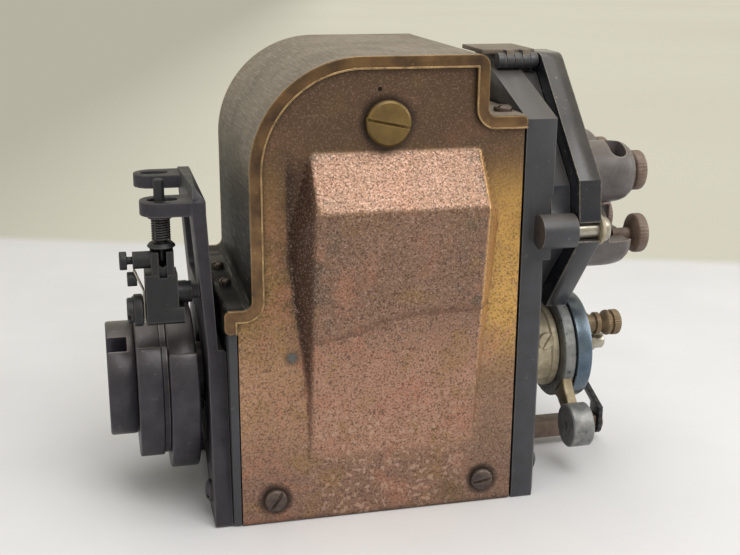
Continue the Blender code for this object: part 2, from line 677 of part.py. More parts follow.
def driven_heads(obj, places, axis, sign, head_radius, head_height, slot_deg):
    """Heads of the small screws that stay driven into a piece."""
    profile = [(radius, along * sign) for radius, along in screw_dome(head_radius, head_height, SINK)]
    for place in places:
        seat = Vector(place)
        fuse(obj, turned(profile, axis, seat, 12))
        cut(obj, head_slot(seat, axis, sign, head_radius, head_height, slot_deg))
        slot_deg += SLOT_TURN_DEG
    return obj


def shank_holes(places, axis, sign, bite):
    """Holes that take the shanks of the screws at these places."""
    way = DIRECTIONS[axis] * sign
    holes = []
    for place in places:
        top = Vector(place) + way * SINK
        bottom = Vector(place) - way * (bite + SEAT)
        holes.append(rod(top, bottom, SCREW_SHANK + RUN, 12))
    return holes


# Fastener places, shared by the screws and the pieces that they hold
PLATE_SCREWS = {
    "left": (-PLATE_SCREW_X, FRONT_FACE, PLATE_SCREW_Z),
    "right": (PLATE_SCREW_X, FRONT_FACE, PLATE_SCREW_Z),
}
REAR_SCREWS = [(side * PLATE_SCREW_X, -FRONT_FACE, PLATE_SCREW_Z) for side in (-1, 1)]
TIE_SCREW = (TIE_X, FRONT_FACE, TIE_Z)
PLATE_BITE = SIDE_PLATE + SEAT + SCREW_BITE
LEFT_FOOT_SCREWS = [(LEFT_FACE - FOOT_SCREW_OUT, side * FOOT_SCREW_LEFT_Y, LEFT_FOOT_Z) for side in (-1, 1)]
RIGHT_FOOT_SCREWS = [(RIGHT_FACE - FOOT_SCREW_IN, side * FOOT_SCREW_RIGHT_Y, RIGHT_FOOT_Z)
                     for side in (-1, 1)]
BRACKET_SCREWS = [(BRACKET_FOOT_X, side * END_SCREW_Y, END_SCREW_Z) for side in (-1, 1)]
CASTING_RIGHT_X = RIGHT_FACE + CASTING_THICKNESS
CASTING_SCREWS = [(CASTING_RIGHT_X, side * END_SCREW_Y, END_SCREW_Z) for side in (-1, 1)]


# Base, end castings and side plates

def base_casting():
    low = (LEFT_FACE + SEAT, -INNER_HALF_DEPTH, 0.0)
    high = (RIGHT_FACE - SEAT, INNER_HALF_DEPTH, BASE_HEIGHT)
    base = part("base_casting", block(low, high), BLACK_ENAMEL)
    holes = []
    for side_x in (-1, 1):
        for side_y in (-1, 1):
            x = side_x * BASE_BOLT_PITCH_X / 2
            y = side_y * BASE_BOLT_PITCH_Y / 2
            holes.append(rod((x, y, -SINK), (x, y, BASE_BOLT_DEPTH), BASE_BOLT_RADIUS, 16))
    holes += shank_holes(PLATE_SCREWS.values(), "Y", -1, PLATE_BITE)
    return cut(base, *holes)


def bearing_housing(low, high):
    return ring(BEARING_RADIUS + BEARING_WALL, BEARING_RADIUS, "X", low, high, SHAFT, 24)


def drive_end_plate():
    left = LEFT_FACE - DRIVE_PLATE
    half = BODY_DEPTH / 2
    outline = rounded_box(-half, 0.0, half, DRIVE_PLATE_HEIGHT, SINK, 2)
    shaft_hole = circle(0, SHAFT_HEIGHT, BEARING_RADIUS - BEARING_LIP, 20)
    plate = part("drive_end_plate", slab(outline, "YZ", left, LEFT_FACE, [shaft_hole]), BLACK_ENAMEL)
    ledge = block((left + SINK, -INNER_HALF_DEPTH, DRIVE_PLATE_HEIGHT - DRIVE_LEDGE_HEIGHT),
                  (LEFT_FACE + DRIVE_LEDGE_DEPTH, INNER_HALF_DEPTH, DRIVE_PLATE_HEIGHT))
    housing = bearing_housing(LEFT_FACE - SINK, LEFT_FACE + BEARING_WIDTH + 2 * SEAT)
    fuse(plate, ledge)
    return fuse(plate, housing)


def block_outline(inset, notch):
    """The distributor block's diamond, shrunk by inset, with open stud notches if asked for."""
    half = BLOCK_HALF_WIDTH - inset
    corner = inset * math.tan(math.radians(BLOCK_CORNER_DEG / 2))
    bottom_half = BLOCK_BOTTOM_HALF - corner
    bottom = BLOCK_BOTTOM + inset
    side_half = half - BLOCK_SIDE_LEAN
    side_top = DISTRIBUTOR_HEIGHT + BLOCK_SIDE_RISE - corner
    apex_round = max(BLOCK_APEX_ROUND - corner, SINK)
    apex_z = BLOCK_APEX - inset - apex_round
    top_half = BLOCK_TOP_HALF - corner / 2
    apex = arc(top_half, apex_z, apex_round, BLOCK_CORNER_DEG, 90, 3)
    apex += arc(-top_half, apex_z, apex_round, 90, 180 - BLOCK_CORNER_DEG, 3)
    gap = STUD_RADIUS + RUN
    mouth = gap + RUN
    shoulder = gap + 2 * RUN
    right = [(bottom_half, bottom), (half, STUD_Z - shoulder)]
    left = [(-side_half, side_top), (-half, STUD_Z + shoulder)]
    if notch:
        right += [(half, STUD_Z - mouth)] + arc(STUD_Y, STUD_Z, gap, 270, 90, 6) + [(half, STUD_Z + mouth)]
        left += [(-half, STUD_Z + mouth)] + arc(-STUD_Y, STUD_Z, gap, 90, -90, 6) + [(-half, STUD_Z - mouth)]
    right += [(half, STUD_Z + shoulder), (side_half, side_top)]
    left += [(-half, STUD_Z - shoulder), (-bottom_half, bottom)]
    return right + apex + left


WELL_X = RIGHT_FACE + WELL_WALL / 2
WELL_END_X = BLOCK_X - 2 * SEAT
WELL_FRONT_Y = -WELL_WALL
HINGE_Y = WELL_FRONT_Y - HINGE_RADIUS - 2 * RUN
HINGE_Z = WELL_TOP - HINGE_DROP
KNUCKLE_PITCH = (WELL_END_X - WELL_X) / KNUCKLE_COUNT


def knuckles(first):
    """Every other hinge knuckle, from the given one on."""
    barrels = []
    for i in range(first, KNUCKLE_COUNT, 2):
        low = WELL_X + i * KNUCKLE_PITCH + RUN / 2
        high = low + KNUCKLE_PITCH - RUN
        barrels.append(rod((low, HINGE_Y, HINGE_Z), (high, HINGE_Y, HINGE_Z), HINGE_RADIUS, 16))
    return barrels


def knuckle_webs(first, low_y, high_y, low_z, high_z):
    webs = []
    for i in range(first, KNUCKLE_COUNT, 2):
        low = WELL_X + i * KNUCKLE_PITCH + RUN / 2
        webs.append(block((low, low_y, low_z), (low + KNUCKLE_PITCH - RUN, high_y, high_z)))
    return webs


def hinge_pin(radius, reach):
    """The lid's hinge pin, or the bore for it where radius and reach are larger."""
    return rod((WELL_X - reach, HINGE_Y, HINGE_Z), (WELL_END_X + reach, HINGE_Y, HINGE_Z), radius, 12)


def distributor_end_casting():
    half = BODY_DEPTH / 2
    gable = [(-half, 0.0), (half, 0.0), (half, CASTING_SHOULDER), (0.0, CASTING_APEX),
             (-half, CASTING_SHOULDER)]
    casting = part("distributor_end_casting", slab(gable, "YZ", RIGHT_FACE, CASTING_RIGHT_X), BLACK_ENAMEL)
    seat_x = BLOCK_X - SEAT
    fuse(casting, slab(block_outline(BLOCK_FACE_INSET, False), "YZ", CASTING_RIGHT_X - SINK, seat_x))
    fuse(casting, rod(on_shaft(CASTING_RIGHT_X - SINK), on_shaft(COLLAR_X - 2 * SEAT),
                      BEARING_RADIUS + BEARING_WALL, 28))
    boss_start = seat_x - STUD_BOSS_LENGTH
    boss_end = seat_x - SEAT
    bosses = [rod((boss_start, side * STUD_Y, STUD_Z), (boss_end, side * STUD_Y, STUD_Z),
                  STUD_BOSS_RADIUS, 24) for side in (-1, 1)]
    fuse(casting, *bosses)
    shelf = block((RIGHT_FACE - CASTING_SHELF, -INNER_HALF_DEPTH, CASTING_SHOULDER - CASTING_SHELF),
                  (RIGHT_FACE + SINK, INNER_HALF_DEPTH, CASTING_SHOULDER))
    fuse(casting, shelf)
    well_back_y = WELL_FRONT_Y + WELL_WIDTH
    fuse(casting, block((WELL_X, WELL_FRONT_Y, CASTING_SHOULDER), (WELL_END_X, well_back_y, WELL_TOP)))
    fuse(casting, *knuckles(0))
    fuse(casting, hinge_pin(HINGE_PIN_RADIUS, -SEAT))
    fuse(casting, *knuckle_webs(0, HINGE_Y, WELL_FRONT_Y + SINK, HINGE_Z - WELL_WEB, HINGE_Z))
    case_end = RIGHT_FACE + GEAR_CASE_DEPTH
    pinion_case = PINION_PITCH + GEAR_ADDENDUM + 2 * RUN
    case_start = RIGHT_FACE - SINK
    spindle_z = DISTRIBUTOR_HEIGHT
    cut(casting, rod((case_start, 0, spindle_z), (case_end, 0, spindle_z), GEAR_CASE_RADIUS, 36))
    cut(casting, rod(on_shaft(case_start), on_shaft(case_end + SEAT), pinion_case, 24))
    pocket_end = case_end + BEARING_WIDTH + 2 * SEAT
    cut(casting, rod(on_shaft(case_start), on_shaft(pocket_end), BEARING_RADIUS, 24))
    cut(casting, rod(on_shaft(case_start), on_shaft(BLOCK_X), BEARING_RADIUS - BEARING_LIP, 20))
    cut(casting, rod((case_start, 0, spindle_z), (BLOCK_X, 0, spindle_z), SPINDLE_RADIUS + RUN, 20))
    lip_half = math.sqrt(GEAR_CASE_RADIUS ** 2 - (CASTING_SHOULDER - spindle_z) ** 2) + SINK
    fuse(casting, block((RIGHT_FACE + SEAT, -lip_half, CASTING_SHOULDER - SINK),
                        (RIGHT_FACE + GEAR_INSET - RUN, lip_half, spindle_z + GEAR_CASE_RADIUS + SINK)))
    stud_holes = [rod((boss_start + STUD_RADIUS, side * STUD_Y, STUD_Z), (BLOCK_X, side * STUD_Y, STUD_Z),
                      STUD_RADIUS + RUN, 16) for side in (-1, 1)]
    cut(casting, *stud_holes)
    edge_x = CASTING_RIGHT_X - CASTING_EDGE
    for side in (-1, 1):
        edge = [(CASTING_RIGHT_X, side * (half - CASTING_EDGE_DEPTH)), (edge_x, side * half),
                (edge_x, side * (half + SINK)), (CASTING_RIGHT_X + SINK, side * (half + SINK)),
                (CASTING_RIGHT_X + SINK, side * (half - CASTING_EDGE_DEPTH))]
        cut(casting, slab(edge, "XY", -SINK, STUD_Z - CASTING_EDGE_DROP))
    well_floor = CASTING_APEX - WELL_FLOOR_DROP
    cut(casting, block((WELL_X + WELL_WALL, WELL_FRONT_Y + WELL_WALL, well_floor),
                       (WELL_END_X - WELL_WALL, well_back_y - WELL_WALL, WELL_TOP + SINK)))
    return driven_heads(casting, CASTING_SCREWS, "X", 1, PLATE_SCREW_HEAD, SCREW_HEAD_HEIGHT, 20.0)


def hood_path(inset, overrun=0.0):
    """The hood's section from the tip of its left foot to the end of its right foot, moved inwards.

    Its two ends run on by overrun.
    """
    foot_top = LEFT_FOOT_Z - inset
    tip_x = HOOD_TIP_X + inset
    leg_x = -HOOD_LEG + inset
    right_x = HOOD_RIGHT - inset
    points = [(tip_x, LEFT_FOOT_Z - HOOD_FOOT_DROP - overrun)]
    if inset < HOOD_BEND:
        points += arc(HOOD_TIP_X + HOOD_BEND, LEFT_FOOT_Z - HOOD_BEND, HOOD_BEND - inset, 180, 90, 3)
    else:
        points.append((tip_x, foot_top))
    fillet = HOOD_FILLET + inset
    points += arc(-HOOD_LEG - HOOD_FILLET, LEFT_FOOT_Z + HOOD_FILLET, fillet, 270, 360, 3)
    points += arc(HOOD_ARC_X, HOOD_ARC_Z, HOOD_ARC - inset, 180, 90, 8)
    corner = max(HOOD_CORNER - inset, SEAT)
    points += arc(right_x - corner, HOOD_TOP - inset - corner, corner, 90, 0, 3)
    points += arc(HOOD_RIGHT + HOOD_FILLET, RIGHT_FOOT_Z + HOOD_FILLET, fillet, 180, 270, 3)
    points.append((RIGHT_FACE - SEAT + overrun, RIGHT_FOOT_Z - inset))
    return points


def magnet_hood():
    """Sheet between two rolled edges: one thick band, cut back to the sheet between its edges."""
    half = HOOD_DEPTH / 2
    band = hood_path(0.0) + hood_path(LIP_WIDTH)[::-1]
    hood = part("magnet_hood", slab(band, "XZ", -half, half), HOOD_BRASS)
    inside = hood_path(HOOD_SHEET, SINK) + hood_path(LIP_WIDTH + SINK, SINK)[::-1]
    cut(hood, slab(inside, "XZ", -half + LIP_THICKNESS, half - LIP_THICKNESS))
    weld(hood)
    driven_heads(hood, LEFT_FOOT_SCREWS, "Z", 1, LEFT_FOOT_SCREW_HEAD, SCREW_HEAD_HEIGHT, 20.0)
    return driven_heads(hood, RIGHT_FOOT_SCREWS, "Z", 1, FOOT_SCREW_HEAD, SCREW_HEAD_HEIGHT, 70.0)


def side_plate_outline():
    left = LEFT_FACE + SEAT
    right = RIGHT_FACE - SEAT
    inside = [point for point in hood_path(HOOD_SHEET + SEAT) if point[0] > left][:-1]
    under_right_foot = (right, RIGHT_FOOT_Z - HOOD_SHEET - SEAT)
    return [(left, SEAT), (left, DRIVE_PLATE_HEIGHT)] + inside + [under_right_foot, (right, SEAT)]


def tie_hole():
    return circle(TIE_X, TIE_Z, SCREW_SHANK + RUN, 12)


def bulge_points(inset, back_y):
    """Corners of the pressed bulge: its outline on the plate and the ridge across its face."""
    face = BULGE_HALF_WIDTH - inset
    flare = face + BULGE_FLARE
    ridge_y = FRONT_FACE - BULGE_HEIGHT + inset
    corners = [(-face, BULGE_TOP - inset), (face, BULGE_TOP - inset),
               (flare, BULGE_SHOULDER), (face + SEAT, BULGE_BOTTOM + inset),
               (-face - SEAT, BULGE_BOTTOM + inset), (-flare, BULGE_SHOULDER)]
    points = [(BULGE_CENTRE_X + x, back_y, z) for x, z in corners]
    points += [(BULGE_CENTRE_X + side * face, ridge_y, BULGE_RIDGE) for side in (-1, 1)]
    points += [(BULGE_CENTRE_X + x, FRONT_FACE - SEAT + inset, z) for x, z in corners]
    return points


def front_side_plate():
    back = FRONT_FACE + SIDE_PLATE
    holes = [circle(side * PLATE_SCREW_X, PLATE_SCREW_Z, SCREW_SHANK + RUN, 12) for side in (-1, 1)]
    plate = part("front_side_plate", slab(side_plate_outline(), "XZ", FRONT_FACE, back, [*holes, tie_hole()]),
                 PATINA_BRASS)
    fuse(plate, hull(bulge_points(0.0, back - SEAT)))
    return cut(plate, hull(bulge_points(SIDE_PLATE, back + SINK)))


def rear_side_plate():
    front = -FRONT_FACE - SIDE_PLATE
    plate = part("rear_side_plate", slab(side_plate_outline(), "XZ", front, -FRONT_FACE, [tie_hole()]),
                 PATINA_BRASS)
    return driven_heads(plate, REAR_SCREWS, "Y", 1, PLATE_SCREW_HEAD, SCREW_HEAD_HEIGHT, 35.0)


def fasteners():
    """The tie bolt across the body, the screw in its front end and the front plate's screws."""
    head_start = -FRONT_FACE + SEAT
    head_end = head_start + TIE_HEAD_HEIGHT
    profile = ((0.0, head_end), (TIE_SCREW_HEAD * HEAD_CROWN, head_end), (TIE_SCREW_HEAD, head_end - SINK),
               (TIE_SCREW_HEAD, head_start), (SCREW_SHANK, head_start), (SCREW_SHANK, INNER_HALF_DEPTH),
               (TIE_RADIUS, INNER_HALF_DEPTH), (TIE_RADIUS, -INNER_HALF_DEPTH), (0.0, -INNER_HALF_DEPTH))
    bolt = part("tie_bolt", turned(profile, "Y", (TIE_X, 0.0, TIE_Z), 20), DARK_STEEL)
    cut(bolt, *shank_holes([TIE_SCREW], "Y", -1, PLATE_BITE))
    slotted_screw("front_tie_screw", TIE_SCREW, "Y", -1, TIE_SCREW_HEAD, TIE_HEAD_HEIGHT, PLATE_BITE,
                  HOOD_BRASS, 60.0)
    for side, place in PLATE_SCREWS.items():
        slotted_screw(f"{side}_plate_screw", place, "Y", -1, PLATE_SCREW_HEAD, SCREW_HEAD_HEIGHT, PLATE_BITE,
                      DARK_STEEL, 40.0)


# Magnetic circuit and windings

def horseshoe_magnets():
    outer = (MAGNET_RIGHT_X - MAGNET_LEFT_X) / 2
    crown = HOOD_TOP - HOOD_SHEET - MAGNET_CLEARANCE - outer
    foot = POLE_BLOCK_TOP + SEAT
    outline = [(MAGNET_RIGHT_X, foot)] + arc(COIL_X, crown, outer, 0, 180, 14) + [(MAGNET_LEFT_X, foot)]
    outline += [(MAGNET_LEFT_X + MAGNET_THICKNESS, foot)]
    outline += arc(COIL_X, crown, outer - MAGNET_THICKNESS, 180, 0, 14)
    outline += [(MAGNET_RIGHT_X - MAGNET_THICKNESS, foot)]
    half = INNER_HALF_DEPTH - SEAT
    part("front_magnet", slab(outline, "XZ", -half, -MAGNET_GAP / 2), MAGNET_STEEL)
    part("rear_magnet", slab(outline, "XZ", MAGNET_GAP / 2, half), MAGNET_STEEL)


def pole_blocks():
    """Soft-iron blocks that lead the magnets' flux to the two ends of the rotor."""
    half = POLE_BLOCK_WIDTH / 2
    foot = BASE_HEIGHT + SEAT
    outline = [(-half, foot), (half, foot), (half, POLE_BLOCK_TOP), (-half, POLE_BLOCK_TOP)]
    bore = circle(0, SHAFT_HEIGHT, POLE_BORE, 28)
    left_end = ROTOR_LEFT_X - 5 * RUN
    right_end = ROTOR_RIGHT_X + 5 * RUN
    part("drive_pole_block", slab(outline, "YZ", left_end - POLE_BLOCK, left_end, [bore]), LAMINATED_IRON)
    part("breaker_pole_block", slab(outline, "YZ", right_end, right_end + POLE_BLOCK, [bore]), LAMINATED_IRON)


def field_poles():
    inner = COIL_LENGTH / 2 + 2 * SEAT
    outer = inner + FIELD_POLE
    foot = BASE_HEIGHT + SEAT
    face = ROTOR_RADIUS + AIR_GAP
    waist = SHAFT_HEIGHT + ROTOR_RADIUS
    right = [(outer, foot), (outer, FIELD_POLE_TOP), (inner, FIELD_POLE_TOP), (inner, waist)]
    right += arc(0.0, SHAFT_HEIGHT, face, 50, -50, 12) + [(ROTOR_RADIUS, foot)]
    left = [(-y, z) for y, z in right]
    low = ROTOR_LEFT_X + SINK
    high = ROTOR_RIGHT_X - SINK
    part("front_field_pole", slab(left, "YZ", low, high), LAMINATED_IRON)
    part("rear_field_pole", slab(right, "YZ", low, high), LAMINATED_IRON)


def coil():
    reach = COIL_LENGTH / 2 + 2 * SEAT + FIELD_POLE
    half = CORE_SIZE / 2
    part("coil_core", block((COIL_X - half, -reach, CORE_Z - half), (COIL_X + half, reach, CORE_Z + half)),
         LAMINATED_IRON)
    gap = half + SEAT
    outline = circle(COIL_X, CORE_Z, COIL_RADIUS, 32)
    hole = [(COIL_X - gap, CORE_Z - gap), (COIL_X + gap, CORE_Z - gap),
            (COIL_X + gap, CORE_Z + gap), (COIL_X - gap, CORE_Z + gap)]
    part("ignition_coil", slab(outline, "XZ", -COIL_LENGTH / 2, COIL_LENGTH / 2, [hole]), VARNISHED_COIL)
    back = -reach - SEAT
    condenser_end = MAGNET_RIGHT_X - MAGNET_THICKNESS - CONDENSER_CLEARANCE
    low = (condenser_end - CONDENSER_WIDTH, back - CONDENSER_THICKNESS, BULGE_RIDGE - CONDENSER_HEIGHT)
    high = (condenser_end, back, BULGE_RIDGE)
    part("condenser", block(low, high), VARNISHED_COIL)
    surface = COIL_X + math.sqrt(COIL_RADIUS ** 2 - (DISTRIBUTOR_HEIGHT - CORE_Z) ** 2)
    part("high_tension_rod", rod((surface + SEAT, 0, DISTRIBUTOR_HEIGHT),
                                 (RIGHT_FACE + SINK - SEAT, 0, DISTRIBUTOR_HEIGHT), ROD_RADIUS, 12), BRONZE)


# Rotor body

def gear_outline(teeth, pitch_radius, centre_z, phase_deg):
    """Straight-sided teeth with room to roll through each other."""
    root = pitch_radius - GEAR_DEDENDUM
    tip = pitch_radius + GEAR_ADDENDUM
    step = 360.0 / teeth
    corners = ((root, -TOOTH_ROOT_SHARE), (tip, -TOOTH_TIP_SHARE), (tip, TOOTH_TIP_SHARE),
               (root, TOOTH_ROOT_SHARE))
    points = []
    for i in range(teeth):
        for radius, share in corners:
            angle = math.radians(phase_deg + (i + share) * step)
            points.append((radius * math.cos(angle), centre_z + radius * math.sin(angle)))
    return points


def rotor():
    left_step = LEFT_FACE + BEARING_WIDTH + 2 * SEAT
    right_step = RIGHT_FACE + GEAR_CASE_DEPTH - SEAT
    slot_floor = COUPLING_LEFT_X + TONGUE_SLOT_DEPTH
    spigot_end = COLLAR_END_X + SPIGOT_LENGTH
    cam_end = spigot_end + 2 * RUN + CAM_WIDTH
    profile = ((0.0, slot_floor + SEAT), (SHAFT_RADIUS, slot_floor + SEAT), (SHAFT_RADIUS, left_step),
               (SHAFT_BODY_RADIUS, left_step), (SHAFT_BODY_RADIUS, right_step), (SHAFT_RADIUS, right_step),
               (SHAFT_RADIUS, COLLAR_X - SEAT), (SHAFT_END_RADIUS, COLLAR_X - SEAT),
               (SHAFT_END_RADIUS, spigot_end + RUN), (CAM_SEAT_RADIUS, spigot_end + RUN),
               (CAM_SEAT_RADIUS, cam_end), (0.0, cam_end))
    part("rotor_shaft", turned(profile, "X", SHAFT, 18), BRIGHT_STEEL, SHAFT)
    bore = SHAFT_BODY_RADIUS + SEAT
    core = ring(ROTOR_CORE_RADIUS, bore, "X", ROTOR_LEFT_X, ROTOR_RIGHT_X, SHAFT, 24)
    inductor = part("rotor_inductor", core, LAMINATED_IRON, SHAFT)
    inner = ROTOR_CORE_RADIUS - SINK
    half_deg = ROTOR_WING_DEG / 2
    wings = []
    for middle_deg in (90, 270):
        low_deg = middle_deg - half_deg
        high_deg = middle_deg + half_deg
        outline = arc(0, SHAFT_HEIGHT, ROTOR_RADIUS, low_deg, high_deg, 8)
        outline += arc(0, SHAFT_HEIGHT, inner, high_deg, low_deg, 8)
        wings.append(slab(outline, "YZ", ROTOR_LEFT_X, ROTOR_RIGHT_X))
    fuse(inductor, *wings)
    gear_low = RIGHT_FACE + GEAR_INSET
    gear_high = gear_low + GEAR_WIDTH
    pinion_bore = circle(0, SHAFT_HEIGHT, bore, 24)
    teeth = gear_outline(PINION_TEETH, PINION_PITCH, SHAFT_HEIGHT, 90.0)
    part("rotor_pinion", slab(teeth, "YZ", gear_low, gear_high, [pinion_bore]), BRONZE, SHAFT)
    cam_low = spigot_end + 2 * RUN
    lobes = []
    for i in range(32):
        turn = math.radians(i * 360 / 32)
        radius = CAM_RADIUS + CAM_LIFT * math.cos(2 * turn) ** 3
        lobes.append((radius * math.cos(turn), SHAFT_HEIGHT + radius * math.sin(turn)))
    cam_bore = circle(0, SHAFT_HEIGHT, CAM_SEAT_RADIUS + SEAT, 16)
    part("breaker_cam", slab(lobes, "YZ", cam_low, cam_end, [cam_bore]), BRIGHT_STEEL, SHAFT)


def shaft_bearings():
    drive_low = LEFT_FACE + SEAT
    breaker_low = RIGHT_FACE + GEAR_CASE_DEPTH + SEAT
    for name, low in (("drive_bearing", drive_low), ("breaker_bearing", breaker_low)):
        part(name, ring(BEARING_RADIUS - SEAT, SHAFT_RADIUS + RUN, "X", low, low + BEARING_WIDTH, SHAFT, 24),
             BRIGHT_STEEL)


# Impulse coupling

def notched_disc(radius, notch_radius, notch_to_deg):
    """A disc whose rim is cut back between two angles, where the trip lever drops in."""
    full = arc(0, SHAFT_HEIGHT, radius, notch_to_deg, NOTCH_FROM_DEG + 360, 28)
    cut_back = arc(0, SHAFT_HEIGHT, notch_radius, NOTCH_FROM_DEG, notch_to_deg, 6)
    return full + cut_back


def impulse_coupling():
    bore_radius = SHAFT_RADIUS + RUN
    bore = circle(0, SHAFT_HEIGHT, bore_radius, 24)
    ratchet_disc = notched_disc(RATCHET_RADIUS, RATCHET_NOTCH, RATCHET_NOTCH_TO_DEG)
    ratchet_body = slab(ratchet_disc, "YZ", RATCHET_LEFT_X, RATCHET_X, [bore])
    ratchet = part("ratchet_hub", ratchet_body, GUNMETAL, SHAFT)
    sleeve_end = BRACKET_FOOT_X + BRACKET_FOOT * 0.5
    sleeve_radius = (bore_radius + BRACKET_SHAFT_HOLE) / 2
    fuse(ratchet, ring(sleeve_radius, bore_radius, "X", RATCHET_X - SINK, sleeve_end, SHAFT, 24))
    step_x = CUP_X - CUP_STEP
    cup_disc = notched_disc(CUP_RADIUS, CUP_NOTCH, CUP_NOTCH_TO_DEG)
    cup = part("impulse_cup", slab(cup_disc, "YZ", CUP_LEFT_X, step_x, [bore]), GUNMETAL, SHAFT)
    step_disc = notched_disc(CUP_STEP_RADIUS, CUP_NOTCH, CUP_NOTCH_TO_DEG)
    fuse(cup, slab(step_disc, "YZ", step_x - SINK, CUP_X, [bore]))
    hub_radius = SPIRAL_INNER - SPIRAL_STRIP
    cut(cup, ring(CUP_CAVITY, hub_radius, "X", CUP_LEFT_X + CUP_FLOOR, CUP_X + SINK, SHAFT, 28))
    disc = rod(on_shaft(COUPLING_LEFT_X), on_shaft(COUPLING_X), COUPLING_RADIUS, 40)
    coupling = part("slotted_coupling", disc, GUNMETAL, SHAFT)
    slot_floor = COUPLING_LEFT_X + TONGUE_SLOT_DEPTH
    cut(coupling, rod(on_shaft(slot_floor - SINK), on_shaft(COUPLING_X + SINK), bore_radius, 24))
    reach = COUPLING_RADIUS + SINK
    slot = block((COUPLING_LEFT_X - SINK, -reach, -TONGUE_SLOT / 2), (slot_floor, reach, TONGUE_SLOT / 2))
    slot.transform(Matrix.Translation(SHAFT) @ Matrix.Rotation(math.radians(TONGUE_SLOT_DEG), 4, "X"))
    cut(coupling, slot)
    outer_edge = []
    inner_edge = []
    steps = int(SPIRAL_TURNS * 16)
    for i in range(steps + 1):
        turn = 2 * math.pi * SPIRAL_TURNS * i / steps
        radius = SPIRAL_INNER + (SPIRAL_OUTER - SPIRAL_INNER) * i / steps
        for edge, offset in ((inner_edge, -SPIRAL_STRIP / 2), (outer_edge, SPIRAL_STRIP / 2)):
            reach = radius + offset
            edge.append((reach * math.cos(turn), SHAFT_HEIGHT + reach * math.sin(turn)))
    strip = slab(outer_edge + inner_edge[::-1], "YZ", CUP_LEFT_X + CUP_FLOOR + SEAT, CUP_X - SINK)
    part("impulse_spring", strip, BLUED_STEEL, SHAFT)


# Trip bracket, lever and plunger

LEVER_PIVOT = Vector((PLUNGER_X, PLUNGER_Y, LEVER_PIVOT_Z))
LEVER_X = PLUNGER_X - LEVER_WIDTH / 2 + RUN
LEVER_RIGHT_X = LEVER_X + LEVER_WIDTH
FORK_LEFT_X = PLUNGER_X - LEVER_FORK_WIDTH / 2
FORK_RIGHT_X = PLUNGER_X + LEVER_FORK_WIDTH / 2
PLUNGER_BASE_Z = LEVER_PIVOT_Z + LEVER_FORK_REACH + 2 * RUN


def trip_bracket():
    top_round = PRONG_THICKNESS
    rise = BRACKET_ARCH_RISE
    arch_radius = (BRACKET_ARCH_HALF ** 2 + rise ** 2) / (2 * rise)
    arch_z = rise - arch_radius
    arch_deg = math.degrees(math.asin((SEAT - arch_z) / arch_radius))
    outline = [(BRACKET_FOOT_HALF, SEAT)]
    outline += arc(BRACKET_TOP_HALF - top_round, BRACKET_TOP - top_round, top_round, 0, 90, 4)
    outline += arc(-BRACKET_TOP_HALF + top_round, BRACKET_TOP - top_round, top_round, 90, 180, 4)
    outline += [(-BRACKET_FOOT_HALF, SEAT)]
    outline += arc(0.0, arch_z, arch_radius, 180 - arch_deg, arch_deg, 12)
    window = rounded_box(-WINDOW_HALF, WINDOW_BOTTOM, WINDOW_HALF, WINDOW_TOP, PRONG_SLOT_RADIUS, 3)
    shaft_hole = circle(0, SHAFT_HEIGHT, BRACKET_SHAFT_HOLE, 32)
    left_limit = BRACKET_FOOT_X - BRACKET_LEAN - SINK
    bracket = part("trip_bracket", slab(outline, "YZ", left_limit, BRACKET_X + SINK,
                                        [window, shaft_hole]), GUNMETAL)
    top_left = BRACKET_FOOT_X - BRACKET_LEAN
    top_right = BRACKET_FOOT_X + BRACKET_UPPER - BRACKET_INNER_LEAN
    prong_top = PRONG_BOTTOM + PRONG_THICKNESS
    side_view = [(BRACKET_X, -SINK), (BRACKET_X, BRACKET_STEP - SINK), (BRACKET_X - SINK, BRACKET_STEP),
                 (BRACKET_FOOT_X + BRACKET_UPPER, BRACKET_STEP), (top_right, PRONG_BOTTOM),
                 (top_right, prong_top), (top_left + SINK, BRACKET_TOP + SINK), (top_left, prong_top),
                 (top_left, PRONG_BOTTOM), (BRACKET_FOOT_X, BRACKET_STEP), (BRACKET_FOOT_X, -SINK)]
    reach = BRACKET_FOOT_HALF + SINK
    combine(bracket, slab(side_view, "XZ", -reach, reach), "INTERSECT")
    for side in (-1, 1):
        y = side * PRONG_Y
        prong = [(top_left + 2 * SINK, y - PRONG_RADIUS), (top_left + 2 * SINK, y + PRONG_RADIUS)]
        prong += arc(PLUNGER_X, y, PRONG_RADIUS, 90, 270, 8)
        slot = arc(PLUNGER_X + PRONG_SLOT_HALF, y, PRONG_SLOT_RADIUS, -90, 90, 5)
        slot += arc(PLUNGER_X - PRONG_SLOT_TIP, y, PRONG_SLOT_RADIUS, 90, 270, 5)
        fuse(bracket, slab(prong, "XY", PRONG_BOTTOM, prong_top, [slot]))
    seat_bottom = PRONG_BOTTOM - SPRING_SEAT
    fuse(bracket, ring(SPRING_SEAT_RADIUS, PLUNGER_RADIUS + RUN, "Z", seat_bottom, PRONG_BOTTOM + SINK,
                       (PLUNGER_X, PLUNGER_Y, 0.0), 18))
    fuse(bracket, rod((LEVER_X + SINK, PLUNGER_Y, LEVER_PIVOT_Z), (top_right, PLUNGER_Y, LEVER_PIVOT_Z),
                      LEVER_PIN_RADIUS, 14))
    return driven_heads(bracket, BRACKET_SCREWS, "X", -1, PLATE_SCREW_HEAD, SCREW_HEAD_HEIGHT, 20.0)


